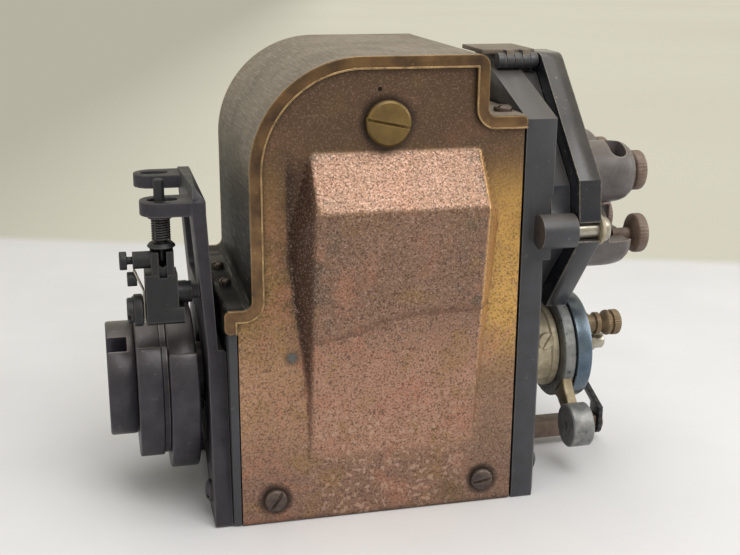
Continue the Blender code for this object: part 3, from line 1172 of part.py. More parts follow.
def trip_lever():
    sole = RATCHET_RADIUS + LEVER_RIM_GAP
    y = PLUNGER_Y
    half = LEVER_FORK_WIDTH / 2
    nose_y = y - half - 3 * SINK
    heel_y = y + half - SINK
    sole_z = SHAFT_HEIGHT + math.sqrt(sole ** 2 - heel_y ** 2)
    body = [(y - half - SINK, LEVER_PIVOT_Z + LEVER_SHOULDER_RISE),
            (y - half - 2 * SINK, LEVER_PIVOT_Z - half),
            (nose_y, sole_z + SINK), (nose_y + SINK, sole_z), (heel_y, sole_z),
            (y + half + 2 * SINK, LEVER_PIVOT_Z - half),
            (y + half + SINK, LEVER_PIVOT_Z + LEVER_SHOULDER_RISE)]
    lever = part("trip_lever", slab(body, "YZ", LEVER_X, LEVER_RIGHT_X), GUNMETAL, LEVER_PIVOT)
    relief = block((FORK_RIGHT_X + SINK, y - 3 * half, LEVER_PIVOT_Z - half),
                   (LEVER_RIGHT_X + SINK, y + 3 * half, LEVER_PIVOT_Z + 5 * half))
    cut(lever, relief)
    span_deg = math.degrees(math.asin(half / LEVER_FORK_REACH))
    fork = [(y + half, LEVER_PIVOT_Z + half)]
    fork += arc(y, LEVER_PIVOT_Z, LEVER_FORK_REACH, 90 - span_deg, 90 + span_deg, 4)
    fork += [(y - half, LEVER_PIVOT_Z + half)]
    fuse(lever, slab(fork, "YZ", FORK_LEFT_X, FORK_RIGHT_X))
    bracket_face = BRACKET_FOOT_X - BRACKET_LEAN - 2 * RUN
    fuse(lever, rod((LEVER_X + SINK, y, LEVER_PIVOT_Z), (bracket_face, y, LEVER_PIVOT_Z),
                    LEVER_BOSS_RADIUS, 20))
    adjuster_z = LEVER_PIVOT_Z + LEVER_FORK_REACH - LEVER_BOSS_RADIUS
    boss_left = LEVER_X - LEVER_BOSS_RADIUS
    fuse(lever, rod((boss_left, y, adjuster_z), (FORK_LEFT_X + SINK, y, adjuster_z),
                    ADJUSTER_BOSS_RADIUS, 16))
    slot = LEVER_FORK_SLOT / 2
    cut(lever, block((PLUNGER_X - slot, y - 3 * half, LEVER_PIVOT_Z + LEVER_SLOT_RISE),
                     (PLUNGER_X + slot, y + 3 * half, LEVER_PIVOT_Z + LEVER_FORK_REACH + SINK)))
    neck = ADJUSTER_NECK_RADIUS
    cut(lever, rod((boss_left - SINK, y, adjuster_z), (FORK_LEFT_X, y, adjuster_z), neck + RUN, 12))
    cut(lever, rod((LEVER_X - SINK, y, LEVER_PIVOT_Z), (bracket_face + SINK, y, LEVER_PIVOT_Z),
                   LEVER_PIN_RADIUS + RUN, 14))
    head_x = boss_left - SCREW_SHANK
    head = ADJUSTER_HEAD_RADIUS
    adjuster = ((0.0, head_x - LEVER_PIN_RADIUS), (head, head_x - LEVER_PIN_RADIUS), (head, head_x),
                (neck, head_x), (neck, FORK_LEFT_X - RUN), (0.0, FORK_LEFT_X - RUN))
    part("lever_adjuster", turned(adjuster, "X", (0, y, adjuster_z), 16), GUNMETAL, LEVER_PIVOT)
    leaf_left = LEVER_X - SEAT
    strip = LEAF_THICKNESS
    leaf_top = adjuster_z - ADJUSTER_BOSS_RADIUS - SEAT
    leaf_bottom = LEVER_PIVOT_Z - LEAF_DROP
    bend_z = LEVER_PIVOT_Z + LEAF_BEND_RISE
    leaf = [(leaf_left, leaf_bottom), (leaf_left, bend_z), (boss_left + strip, leaf_top),
            (boss_left, leaf_top), (leaf_left - strip, bend_z), (leaf_left - strip, leaf_bottom)]
    part("leaf_spring", slab(leaf, "XZ", y - LEAF_HALF_WIDTH, y + LEAF_HALF_WIDTH), BRIGHT_STEEL, LEVER_PIVOT)
    nut_z = LEVER_PIVOT_Z - STOP_NUT_DROP
    nut_right = leaf_left - strip - SEAT
    nut_left = nut_right - STOP_NUT_LENGTH
    stop_nut = ring(STOP_NUT_RADIUS, STOP_NUT_BORE, "X", nut_left, nut_right, (0, y, nut_z), 20)
    part("lever_stop_nut", stop_nut, GUNMETAL, LEVER_PIVOT)


def coil_gap(points, wire, turn_points):
    """Least clear gap between a wound tube's turns, measured on the points of its path."""
    least = math.inf
    for i, here in enumerate(points):
        for there in points[i + turn_points // 2:]:
            least = min(least, (here - there).length - wire)
    return least


def plunger():
    x = PLUNGER_X
    y = PLUNGER_Y
    base = PLUNGER_BASE_Z
    top = base + PLUNGER_FLANGE
    profile = ((0.0, PLUNGER_TOP), (PLUNGER_RADIUS - PLUNGER_CHAMFER, PLUNGER_TOP),
               (PLUNGER_RADIUS, PLUNGER_TOP - RUN),
               (PLUNGER_RADIUS, top), (PLUNGER_FLANGE_RADIUS - PLUNGER_FLANGE_TAPER, top),
               (PLUNGER_FLANGE_RADIUS, base + RUN),
               (PLUNGER_FLANGE_RADIUS - PLUNGER_CHAMFER, base), (PLUNGER_TIP_RADIUS, base),
               (PLUNGER_TIP_RADIUS, base - PLUNGER_TIP_LENGTH), (0.0, base - PLUNGER_TIP_LENGTH))
    part("plunger", turned(profile, "Z", (x, y, 0.0), 18), GUNMETAL, (x, y, base))
    low = top + SEAT + SPRING_WIRE / 2
    high = PRONG_BOTTOM - SPRING_SEAT - SEAT - SPRING_WIRE / 2
    count = SPRING_COIL_COUNT * SPRING_STEP_COUNT
    path = []
    for i in range(count + 1):
        turn = 2 * math.pi * i / SPRING_STEP_COUNT
        path.append(Vector((x + SPRING_RADIUS * math.cos(turn), y + SPRING_RADIUS * math.sin(turn),
                            low + (high - low) * i / count)))
    first = path[0] - (path[1] - path[0]).normalized() * SPRING_WIRE
    last = path[-1] + (path[-1] - path[-2]).normalized() * SPRING_WIRE
    first.z = path[0].z
    last.z = path[-1].z
    path = [first] + path + [last]
    print(f"least gap between spring turns: {coil_gap(path, SPRING_WIRE, SPRING_STEP_COUNT) / MM:.2f} mm")
    curve = bpy.data.curves.new("spring", "CURVE")
    curve.dimensions = "3D"
    curve.bevel_depth = SPRING_WIRE / 2
    curve.bevel_resolution = 1
    curve.use_fill_caps = True
    spline = curve.splines.new("POLY")
    spline.points.add(len(path) - 1)
    for point, place in zip(spline.points, path):
        point.co = (*place, 1.0)
    part("plunger_spring", evaluated_mesh(guide("spring", curve)), DARK_STEEL)


# Distributor

def distributor():
    x = BLOCK_X
    z = DISTRIBUTOR_HEIGHT
    shell = part("distributor_block", slab(block_outline(0.0, True), "YZ", x, BLOCK_END_X), HARD_RUBBER)
    cut(shell, rod((x - SINK, 0, z), (x + BRUSH_TRACK_DEPTH, 0, z), BRUSH_TRACK_RADIUS, 32))
    seat_x = x - SEAT
    stud_start = seat_x - STUD_BOSS_LENGTH + STUD_RADIUS + SEAT
    nut_start = BLOCK_END_X + SEAT
    washer = STUD_WASHER
    nut_end = nut_start + STUD_NUT_LENGTH
    stud = ((0.0, nut_end), (STUD_NUT_RADIUS, nut_end), (STUD_NUT_RADIUS, nut_start + washer),
            (STUD_WASHER_RADIUS, nut_start + washer), (STUD_WASHER_RADIUS, nut_start),
            (STUD_RADIUS, nut_start), (STUD_RADIUS, stud_start), (0.0, stud_start))
    for name, side in (("front_stud", -1), ("rear_stud", 1)):
        place = Vector((0.0, side * STUD_Y, STUD_Z))
        nut = part(name, turned(stud, "X", place, 18), BRIGHT_STEEL)
        nut_seat = place + Vector((nut_end - STUD_NUT_RADIUS / 2, 0.0, 0.0))
        cut(nut, head_slot(nut_seat, "X", 1, STUD_NUT_RADIUS, STUD_NUT_RADIUS / 2, 70.0))
    axis = Vector((0.0, 0.0, z))
    spindle_end = x + BRUSH_TRACK_DEPTH - SINK
    part("distributor_spindle", rod((RIGHT_FACE + SINK, 0, z), (spindle_end, 0, z), SPINDLE_RADIUS, 20),
         BRIGHT_STEEL, axis)
    gear_low = RIGHT_FACE + GEAR_INSET
    gap_phase = -90.0 + 180.0 / GEAR_TEETH
    bore = circle(0, z, SPINDLE_RADIUS + SEAT, 20)
    part("distributor_gear", slab(gear_outline(GEAR_TEETH, GEAR_PITCH, z, gap_phase), "YZ", gear_low,
                                  gear_low + GEAR_WIDTH, [bore]), BRONZE, axis)
    arm_low = x + SINK
    finger_reach = math.hypot(TOWER_Y, TOWER_Z)
    half = SPINDLE_RADIUS + 2 * SINK
    outline = arc(0, z, half, 90, 270, 10) + arc(finger_reach, z, FINGER_TIP_RADIUS, -90, 90, 6)
    finger = slab(outline, "YZ", arm_low, spindle_end, [bore])
    brush_end = x + BRUSH_TRACK_DEPTH - SEAT
    arm = part("distributor_finger", finger, AGED_RUBBER, axis)
    fuse(arm, rod((arm_low + SINK, finger_reach, z), (brush_end, finger_reach, z), BRUSH_RADIUS, 12))
    upper = [(side * TOWER_Y, z + TOWER_Z, 0.0) for side in (-1, 1)]
    lower = [(side * TOWER_Y, z - TOWER_Z, NUT_BACKED_OFF) for side in (-1, 1)]
    terminals(upper + lower)


def thumb_nut(name, start_x, y, z, radius, thickness, stem_radius, stem_length):
    """A grooved round nut with fine flutes and a stem that screws in."""
    groove = radius * NUT_GROOVE
    end_x = start_x + thickness
    profile = ((0.0, end_x), (radius * NUT_CROWN, end_x), (radius, start_x + thickness * NUT_GRIP_END),
               (radius, start_x + thickness * NUT_GRIP_START), (groove, start_x + thickness * NUT_GROOVE_END),
               (groove, start_x), (stem_radius, start_x), (stem_radius, start_x - stem_length),
               (0.0, start_x - stem_length))
    part(name, turned(profile, "X", (0, y, z), 16), BROWN_NUT, (start_x, y, z))


def terminals(places):
    """The moulded face with its four terminal towers, and the nuts that clamp the leads.

    A lead drops into an upper tower from above, and enters a lower one through a notch open to the side.
    """
    face_x = BLOCK_END_X + SEAT
    face = slab(block_outline(FACE_PLATE_INSET, False), "YZ", face_x, TOWER_X)
    moulding = part("terminal_moulding", face, AGED_RUBBER)
    straight_x = TOWER_X + TOWER_STRAIGHT
    profile = ((0.0, TOWER_END_X), (TOWER_END_RADIUS - SINK, TOWER_END_X),
               (TOWER_END_RADIUS, TOWER_END_X - SINK),
               (TOWER_RADIUS - SINK, straight_x + TOWER_SHOULDER), (TOWER_RADIUS, straight_x),
               (TOWER_RADIUS, TOWER_X - SINK), (0.0, TOWER_X - SINK))
    hole_x = TOWER_X + LEAD_HOLE_OUT
    for number, (y, z, backed_off) in enumerate(places, start=1):
        fuse(moulding, turned(profile, "X", (0, y, z), 18))
        cut(moulding, rod((hole_x, y, z - NUT_STEM_RADIUS), (hole_x, y, z + TOWER_RADIUS),
                          LEAD_HOLE_RADIUS, 12))
        if z < DISTRIBUTOR_HEIGHT:
            near_y, far_y = sorted((y, y + math.copysign(TOWER_RADIUS + SINK, y)))
            cut(moulding, block((hole_x - LEAD_HOLE_RADIUS, near_y, z),
                                (hole_x + LEAD_HOLE_RADIUS, far_y, z + TOWER_RADIUS)))
        cut(moulding, rod((hole_x, y, z), (TOWER_END_X + SINK, y, z), NUT_STEM_RADIUS + RUN, 13))
        thumb_nut(f"terminal_nut_{number}", TOWER_END_X + SEAT + backed_off, y, z, NUT_RADIUS, NUT_THICKNESS,
                  NUT_STEM_RADIUS, NUT_STEM_LENGTH + backed_off)


# Contact breaker

def contact_breaker():
    spigot_end = COLLAR_END_X + SPIGOT_LENGTH
    collar_bore = SHAFT_END_RADIUS + RUN
    collar_profile = ((COLLAR_RADIUS, COLLAR_X), (COLLAR_RADIUS, COLLAR_END_X), (SPIGOT_RADIUS, COLLAR_END_X),
                      (SPIGOT_RADIUS, spigot_end), (collar_bore, spigot_end), (collar_bore, COLLAR_X))
    collar = part("breaker_collar", turned(collar_profile, "X", SHAFT, 24, closed=True), ALUMINIUM)
    screw_y = SINK - math.sqrt(COLLAR_RADIUS ** 2 - COLLAR_SCREW_RISE ** 2)
    collar_seat = [((COLLAR_X + COLLAR_END_X) / 2, screw_y, SHAFT_HEIGHT + COLLAR_SCREW_RISE)]
    driven_heads(collar, collar_seat, "Y", -1, COLLAR_SCREW_HEAD, SCREW_HEAD_HEIGHT, 50.0)
    floor_end = TIMING_X + TIMING_FLOOR
    wall = TIMING_RADIUS - TIMING_WALL
    hub_bore = SPIGOT_RADIUS + RUN
    ring_profile = ((TIMING_RADIUS, TIMING_END_X), (TIMING_RADIUS, TIMING_X), (hub_bore, TIMING_X),
                    (hub_bore, floor_end), (wall, floor_end), (wall, TIMING_END_X))
    lever = part("timing_lever", turned(ring_profile, "X", SHAFT, 32, closed=True), ALUMINIUM, SHAFT)
    boss_y = TIMING_BOSS_REACH * math.cos(math.radians(TIMING_BOSS_DEG))
    boss_z = SHAFT_HEIGHT + TIMING_BOSS_REACH * math.sin(math.radians(TIMING_BOSS_DEG))
    middle_x = (TIMING_X + TIMING_END_X) / 2
    arm = block((TIMING_X, TIMING_RADIUS - 2 * SINK, -TIMING_ARM_HALF),
                (TIMING_X + TIMING_ARM, TIMING_BOSS_REACH, TIMING_ARM_HALF))
    arm.transform(Matrix.Translation(SHAFT) @ Matrix.Rotation(math.radians(TIMING_BOSS_DEG), 4, "X"))
    fuse(lever, arm)
    half = TIMING_BOSS_LENGTH / 2
    fuse(lever, rod((middle_x - half, boss_y, boss_z), (middle_x + half, boss_y, boss_z),
                    TIMING_BOSS_RADIUS, 24))
    cut(lever, rod((middle_x - half - SINK, boss_y, boss_z), (middle_x + half + SINK, boss_y, boss_z),
                   TIMING_BOSS_HOLE, 12))
    cap_inside = CAP_RADIUS - CAP_WALL
    cap_profile = ((0.0, CAP_END_X), (CAP_RADIUS - SINK, CAP_END_X), (CAP_RADIUS, CAP_END_X - SINK),
                   (CAP_RADIUS, CAP_X), (cap_inside, CAP_X), (cap_inside, CAP_END_X - CAP_WALL),
                   (0.0, CAP_END_X - CAP_WALL))
    part("breaker_cap", turned(cap_profile, "X", SHAFT, 32), BLUED_STEEL, SHAFT)
    button_start = CAP_END_X + SEAT
    part("cap_button", rod(on_shaft(button_start), on_shaft(button_start + BUTTON_LENGTH), BUTTON_RADIUS, 18),
         BRIGHT_STEEL, SHAFT)
    ground_z = SHAFT_HEIGHT + GROUND_Z
    lock_end = button_start + GROUND_POST_LENGTH
    nut_bore = NUT_STEM_RADIUS + RUN
    post_radius = GROUND_POST_RADIUS
    post = ((0.0, button_start), (post_radius, button_start), (post_radius, lock_end), (nut_bore, lock_end),
            (nut_bore, button_start + SINK), (0.0, button_start + SINK))
    part("ground_post", turned(post, "X", (0, GROUND_Y, ground_z), 18), BROWN_NUT, SHAFT)
    thumb_nut("ground_nut", lock_end + SEAT, GROUND_Y, ground_z, GROUND_NUT_RADIUS, GROUND_NUT_THICKNESS,
              NUT_STEM_RADIUS, NUT_STEM_LENGTH)
    breaker_points(lever, floor_end, wall)


def breaker_points(lever, floor_x, wall):
    """The hinged breaker arm, its pivot pin and the fixed contact on the timing lever's floor."""
    low = COLLAR_END_X + SPIGOT_LENGTH + 2 * RUN
    high = low + BREAKER_ARM_WIDTH
    lobe = CAM_RADIUS + CAM_LIFT
    arm_inner = lobe + 4 * SINK
    arm_outer = arm_inner + 3 * SINK
    track = (arm_inner + arm_outer) / 2
    heel_deg = BREAKER_PIVOT_DEG + 8
    foot_deg = BREAKER_FOOT_DEG
    tip_deg = BREAKER_TIP_DEG
    pivot_turn = math.radians(BREAKER_PIVOT_DEG)
    pivot = (track * math.cos(pivot_turn), SHAFT_HEIGHT + track * math.sin(pivot_turn))
    outline = arc(0, SHAFT_HEIGHT, arm_outer, tip_deg, heel_deg, 10)
    outline += arc(0, SHAFT_HEIGHT, arm_inner, heel_deg, foot_deg + 8, 4)
    outline += arc(0, SHAFT_HEIGHT, lobe + 2 * RUN, foot_deg + 6, foot_deg - 6, 2)
    outline += arc(0, SHAFT_HEIGHT, arm_inner, foot_deg - 8, tip_deg, 4)
    pin_radius = BREAKER_PIN_RADIUS
    bore = circle(*pivot, pin_radius + RUN, 10)
    pivot_point = Vector((low, *pivot))
    part("breaker_arm", slab(outline, "YZ", low, high, [bore]), FIBRE, pivot_point)
    fuse(lever, rod((floor_x - SINK, *pivot), (high + RUN, *pivot), pin_radius, 10))
    anvil_gap_deg = math.degrees(2 * RUN / track)
    anvil = arc(0, SHAFT_HEIGHT, wall - SEAT, ANVIL_DEG, tip_deg - anvil_gap_deg, 3)
    anvil += arc(0, SHAFT_HEIGHT, arm_inner, tip_deg - anvil_gap_deg, ANVIL_DEG, 3)
    part("fixed_contact", slab(anvil, "YZ", floor_x + SEAT, high), BRIGHT_STEEL, SHAFT)


# Cap clip and oil lid

def cap_clip():
    half = CLIP_BAR_SIZE / 2
    bar_start = CASTING_RIGHT_X + SEAT
    bar_body = block((bar_start, -half, CLIP_BAR_Z - half), (CLIP_BAR_END, half, CLIP_BAR_Z + half))
    bar = part("clip_bar", bar_body, BROWN_NUT)
    pin_radius = CLIP_RIVET_RADIUS
    strap_left = CLIP_BAR_END + 2 * RUN
    strap_right = strap_left + CLIP_THICKNESS
    head_start = strap_right + RUN
    rivet = ((0.0, head_start + SINK), (CLIP_RIVET_CROWN, head_start + SINK), (CLIP_RIVET_HEAD, head_start),
             (pin_radius, head_start), (pin_radius, CLIP_BAR_END - SINK), (0.0, CLIP_BAR_END - SINK))
    fuse(bar, turned(rivet, "X", (0, 0, CLIP_BAR_Z), 16))
    tip_left = CAP_END_X + SEAT
    tip_z = SHAFT_HEIGHT - BUTTON_RADIUS - 2 * RUN
    knee_z = CLIP_BAR_Z + CLIP_BAR_SIZE
    pad_z = tip_z - CLIP_PAD_HEIGHT
    end_z = CLIP_BAR_Z - CLIP_WIDTH / 2
    slope = CLIP_BEND_OFFSET
    side_view = [(strap_left, end_z), (strap_left, knee_z), (tip_left, pad_z), (tip_left, tip_z),
                 (tip_left + CLIP_THICKNESS, tip_z), (tip_left + CLIP_THICKNESS, pad_z + slope),
                 (strap_right, knee_z + slope), (strap_right, end_z)]
    pivot = Vector((strap_left, 0.0, CLIP_BAR_Z))
    width = CLIP_WIDTH / 2
    strap = part("cap_clip", slab(side_view, "XZ", -width, width), BLACK_ENAMEL, pivot)
    tip_round = CLIP_TIP_ROUND
    front_view = arc(0.0, CLIP_BAR_Z, width, 180, 360, 10) + arc(0.0, tip_z - tip_round, tip_round, 0, 180, 8)
    combine(strap, slab(front_view, "YZ", tip_left - SINK, strap_right + SINK), "INTERSECT")
    cut(strap, rod((strap_left - SINK, 0, CLIP_BAR_Z), (strap_right + SINK, 0, CLIP_BAR_Z),
                   pin_radius + RUN, 14))


def oil_lid():
    low_x = WELL_X - LID_OVERHANG
    bottom = WELL_TOP + SEAT
    top = bottom + LID_THICKNESS
    front = WELL_FRONT_Y - LID_SIDE_OVERHANG
    back = WELL_FRONT_Y + WELL_WIDTH + LID_SIDE_OVERHANG
    axis = Vector((WELL_X, HINGE_Y, HINGE_Z))
    lid = part("oil_lid", block((low_x, front, bottom), (WELL_END_X, back, top)), HOOD_BRASS, axis)
    fuse(lid, *knuckles(1))
    fuse(lid, *knuckle_webs(1, HINGE_Y - LID_WEB_OUT, front + SINK, HINGE_Z + LID_WEB_RISE, top))
    cut(lid, hinge_pin(HINGE_PIN_RADIUS + RUN, SINK))


base_casting()
drive_end_plate()
distributor_end_casting()
magnet_hood()
front_side_plate()
rear_side_plate()
fasteners()
horseshoe_magnets()
pole_blocks()
field_poles()
coil()
shaft_bearings()
rotor()
impulse_coupling()
trip_bracket()
trip_lever()
plunger()
distributor()
contact_breaker()
cap_clip()
oil_lid()
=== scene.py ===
import json
import math

import bpy
from mathutils import Matrix, Vector


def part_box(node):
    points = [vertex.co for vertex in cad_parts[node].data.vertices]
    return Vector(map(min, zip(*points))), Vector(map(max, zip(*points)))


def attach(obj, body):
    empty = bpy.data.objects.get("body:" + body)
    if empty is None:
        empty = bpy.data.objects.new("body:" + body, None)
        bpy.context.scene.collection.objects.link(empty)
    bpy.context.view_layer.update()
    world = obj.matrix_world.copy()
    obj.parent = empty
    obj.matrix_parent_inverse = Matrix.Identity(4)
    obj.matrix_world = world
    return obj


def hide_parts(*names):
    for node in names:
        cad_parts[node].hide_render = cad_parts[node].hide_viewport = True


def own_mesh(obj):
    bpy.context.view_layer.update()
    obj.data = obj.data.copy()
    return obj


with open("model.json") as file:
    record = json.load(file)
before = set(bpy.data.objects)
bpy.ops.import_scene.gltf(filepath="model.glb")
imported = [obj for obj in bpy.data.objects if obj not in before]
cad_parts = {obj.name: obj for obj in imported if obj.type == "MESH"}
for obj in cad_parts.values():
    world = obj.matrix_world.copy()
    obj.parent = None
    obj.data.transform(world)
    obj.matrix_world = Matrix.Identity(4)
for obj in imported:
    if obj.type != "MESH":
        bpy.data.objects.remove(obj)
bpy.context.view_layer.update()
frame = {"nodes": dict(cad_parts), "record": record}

RECORD = frame["record"]
SLOT_OF = {entry["node"]: entry["material_slot"] for entry in RECORD["subparts"]}
BODY_OF = {node: body for body, nodes in RECORD["behaviour"]["bodies"].items() for node in nodes}

# Sizes below are in millimetres and degrees
MM = 0.001
SHAFT_Z = 45.0
SHAFT = (0.0, 0.0, SHAFT_Z)
PLATE_FACE_Y = -45.0

# Brass hood, as sections of its sheet seen from the front
HOOD_SHEET = 1.2
HOOD_LEG_X = -47.0
HOOD_WALL_X = 37.2
HOOD_TOP_Z = 170.0
HOOD_ARC_RADIUS = 39.3
HOOD_CORNER = 4.0
HOOD_FILLET = 3.0
HOOD_TIP_X = -56.7
HOOD_TIP_Z = 75.0
HOOD_BEND = 1.9
LEFT_FOOT_Z = 83.5
RIGHT_FOOT_Z = 148.5
RIGHT_FOOT_X = 51.9
LIP_WIDTH = 4.3
LIP_THICKNESS = 1.7
LIP_ROUND = 0.75
LIP_PROUD = 0.05
BEAD_WIDTH = 0.55
BEAD_HEIGHT = 0.3
BEAD_PROUD = 0.1

# Front cover with its pressed bulge
COVER_SHEET = 2.0
COVER_SEAM = 0.6              # dark joint between the cover and the end casting
COVER_CELL = 0.7
COVER_UNDER_LIP = 2.2
BULGE_HEIGHT = 14.2
BULGE_CENTRE_X = 4.5
BULGE_HALF_WIDTH = 30.5
BULGE_FLARE = 38.0
BULGE_TOP_Z = 137.7
BULGE_RIDGE_Z = 119.0
BULGE_SHOULDER_Z = 110.0
BULGE_BOTTOM_Z = 22.0
PRESS_RADIUS = 1.6
FOOT_RADIUS = 0.6
# the dried crease climbs across the bulge, between these two places
CREASE_LOW = (-24.0, 71.2)
CREASE_HIGH = (12.0, 80.0)
CREASE_DEPTH = 0.28
CREASE_HALF_WIDTH = 2.0

# Screws and nuts
PLATE_SCREW_HEIGHT = 2.4
TIE_SCREW_HEIGHT = 3.4
FOOT_SCREW_HEIGHT = 2.2
LEAF_SCREW_RADIUS = 2.6
LEAF_SCREW_HEIGHT = 3.4
LEAF_SCREW_DROP = 3.4
LEVER_NUT_STEP = 2.4
LEVER_NUT_SLOT = 1.2
LEVER_NUT_TURN = 15.0
LEAF_SCREW_TURN = 60.0
FOOT_SCREW_TURN = 40.0
FOOT_SCREWS = ((-52.4, -12.0, LEFT_FOOT_Z, 2.3), (-52.4, 12.0, LEFT_FOOT_Z, 2.3),
               (47.2, -33.0, RIGHT_FOOT_Z, 3.4), (47.2, 33.0, RIGHT_FOOT_Z, 3.4))
TIE_SLOT_TURN = -78.0
TIE_SLOT_SHARE = 0.065
SLOT_SHARE = 0.17             # a slot's width, as a share of the head's diameter
HEAD_STEPS = 48
NUT_FLUTES = 34
FLUTE_DEPTH = 0.2
NUT_THICKNESS = 6.0
GROUND_NUT_THICKNESS = 8.4
NUT_STEM = 2.3

# Impulse coupling
RATCHET_DISC = 10.4
CUP_BORE = 23.0
CUP_FLOOR = 2.2
COUPLING_EDGE = 0.9
NOTCH_FROM = 82.0
RATCHET_NOTCH_TO = 148.0
CUP_NOTCH_TO = 140.0
RATCHET_NOTCH_RADIUS = 27.0
CUP_NOTCH_RADIUS = 25.5
CUP_STEP = 1.8
CUP_STEP_RADIUS = 30.0
SHAFT_BORE = 7.3
SLEEVE_RADIUS = 11.6
TONGUE_SLOT = 6.6
TONGUE_SLOT_DEPTH = 7.6
TONGUE_SLOT_TURN = 125.0

# Trip gear
ROD_RADIUS = 1.9
TAIL_RADIUS = 1.1
TAIL_LENGTH = 5.0
SPRING_WIRE = 0.75
SPRING_COILS = 8
FALL_FROM_Y = 26.0
TOP_FALL = 4.6
FORK_ROOT_Z = 92.3
FORK_WEB_Z = 97.0
FORK_WEB_HALF = 2.0
FORK_WEB_DEPTH = 3.4
FORK_BACK_FROM = 3.0
FORK_BACK_Z = 101.2

# Distributor
SPINDLE_Z = 108.5
TOWER_PLACES = ((-16.5, 121.25), (16.5, 121.25), (-16.5, 95.75), (16.5, 95.75))
TOWER_FOOT_X = 82.0
TOWER_END_X = 105.0
TOWER_RADIUS = 12.2
TOWER_RIM_RADIUS = 9.9
TOWER_STRAIGHT_X = 95.5
TOWER_DISH = 1.2
LEAD_HOLE_X = 98.0
LEAD_HOLE_RADIUS = 3.4
LEAD_HOLE_LEAN = 36.0
LOWER_OPEN_X = LEAD_HOLE_X + 2.6
STUD_RADIUS = 2.8
STUD_BARE_X = 69.7
STUD_BARE_RADIUS = 3.2
STUD_NUT_RADIUS = 4.5
STUD_WASHER_RADIUS = 5.6
STUD_WASHER = 1.2
STUD_SLOT = 1.4
STUD_SLOT_TURN = 70.0
BLOCK_END_X = 78.7

# Contact breaker
COLLAR_X = 70.2
COLLAR_END_X = 81.8
COLLAR_RADIUS = 16.0
COLLAR_SPIGOT_RADIUS = 11.0
COLLAR_SPIGOT_END = 85.8
COLLAR_BORE = 6.3
COLLAR_SCREW = (76.0, -14.2, 52.0)
COLLAR_SCREW_RADIUS = 3.4
COLLAR_SCREW_HEIGHT = 2.0
COLLAR_SCREW_TURN = 30.0
RING_X = 82.1
RING_END_X = 87.2
RING_RADIUS = 21.5
RING_WALL = 18.5
RING_BORE = 11.3
RING_FLOOR_X = 84.6
BOSS_REACH = 38.4
BOSS_TURN = 218.7
BOSS_RADIUS = 8.7
BOSS_HALF_LENGTH = 4.4
BOSS_HOLE = 1.6
ARM_HALF_WIDTH = 4.4
ARM_THICKNESS = 4.4
CAP_X = 87.5
CAP_END_X = 94.2
CAP_RADIUS = 22.3
CAP_WALL = 1.8
OIL_LEAF_DEPTH = 2.2

# Shading
# between these heights the hood's sheet goes over to painted shade down its leg
HOOD_GREY_TO = 150.0
HOOD_DARK_FROM = 105.0
# turn, width and length of the hood's two sets of scratches
HOOD_SCRATCHES = ((38.0, 0.55, 14.0), (-48.0, 0.6, 11.0))
SAND_GRAIN = 1.1
CHIP_SIZE = 2.4
SMOOTH_ANGLE = math.radians(38)
BEVEL_ANGLE = math.radians(34)
FLAT_ANGLE = math.radians(0.6)
WELD = 0.02 * MM
# a wider weld closes the small steps between joined shapes, which would hold a bevel back
STEP_WELD = 0.3 * MM

# Camera that took the photograph
EYE = Vector((-96.665, -423.676, 206.776)) * MM
YAW = math.radians(13.6655)
PITCH = math.radians(16.3527)
ROLL = math.radians(0.37)
FOCAL_PIXELS = 1145.51
IMAGE_WIDTH = 740
SENSOR_WIDTH = 36.0


# Colour and material nodes

def linear(code):
    """Linear colour of an sRGB hex value."""
    channels = []
    for start in (0, 2, 4):
        value = int(code[start:start + 2], 16) / 255
        channels.append(value / 12.92 if value <= 0.04045 else ((value + 0.055) / 1.055) ** 2.4)
    return (*channels, 1.0)


def per_mm(size):
    """Texture scale that repeats a pattern at this size in millimetres."""
    return 1.0 / (size * MM)


def add(tree, kind, inputs=None, **settings):
    """Add one node with its settings. A node or socket among the inputs is linked, the rest are values."""
    made = tree.nodes.new(kind)
    for name, value in settings.items():
        setattr(made, name, value)
    for name, value in (inputs or {}).items():
        if isinstance(value, bpy.types.Node):
            value = [socket for socket in value.outputs if socket.enabled][0]
        if isinstance(value, bpy.types.NodeSocket):
            tree.links.new(value, made.inputs[name])
        else:
            made.inputs[name].default_value = value
    return made


# the colour sockets of a Mix node, whose names its other sockets share
COLOUR_A = 6
COLOUR_B = 7


def begin(name, metallic, roughness):
    """A fresh material: its node tree, its shader and the piece's own coordinates."""
    material = bpy.data.materials.new(name)
    material.use_nodes = True
    tree = material.node_tree
    shader = tree.nodes["Principled BSDF"]
    shader.inputs["Metallic"].default_value = metallic
    shader.inputs["Roughness"].default_value = roughness
    place = add(tree, "ShaderNodeTexCoord").outputs["Object"]
    return material, tree, shader, place


# Tarnish of the front cover, with its painted shade and highlight: noises and places, ramps drawn from them,
# and layers laid over each other

EVEN = "LINEAR"
SOFT = "SMOOTHSTEP"
COVER_NOISES = {
    # size in mm, detail, roughness, distortion
    "clouds": (24.0, 4.0, 0.5, 0.0),
    "drift": (7.0, 5.0, 0.6, 0.0),
    "patches": (15.0, 3.0, 0.55, 0.6),
    "scatter": (1.9, 1.0, 0.4, 0.0),
    # salt and pepper tarnish, drawn a little coarser than it is so that it shows
    "pepper": (0.7, 2.0, 0.6, 0.0),
    "salt": (0.65, 1.0, 0.5, 0.3),
}
COVER_SPOTS = {
    # a spot's place, the noise that makes its edge ragged, and by how much
    "verdigris": ((-33.0, -45.5, 64.3), "pepper", 3.0),
    "oil": ((27.0, -45.0, 5.5), "drift", 12.0),
    "drill": ((-1.5, -45.0, 158.8), "drift", 0.0),
    "left_screw": ((-39.7, -45.0, 9.4), "drift", 3.0),
    "right_screw": ((39.7, -45.0, 9.4), "drift", 3.0),
    "tie_screw": ((1.2, -45.0, 147.3), "drift", 3.0),
}
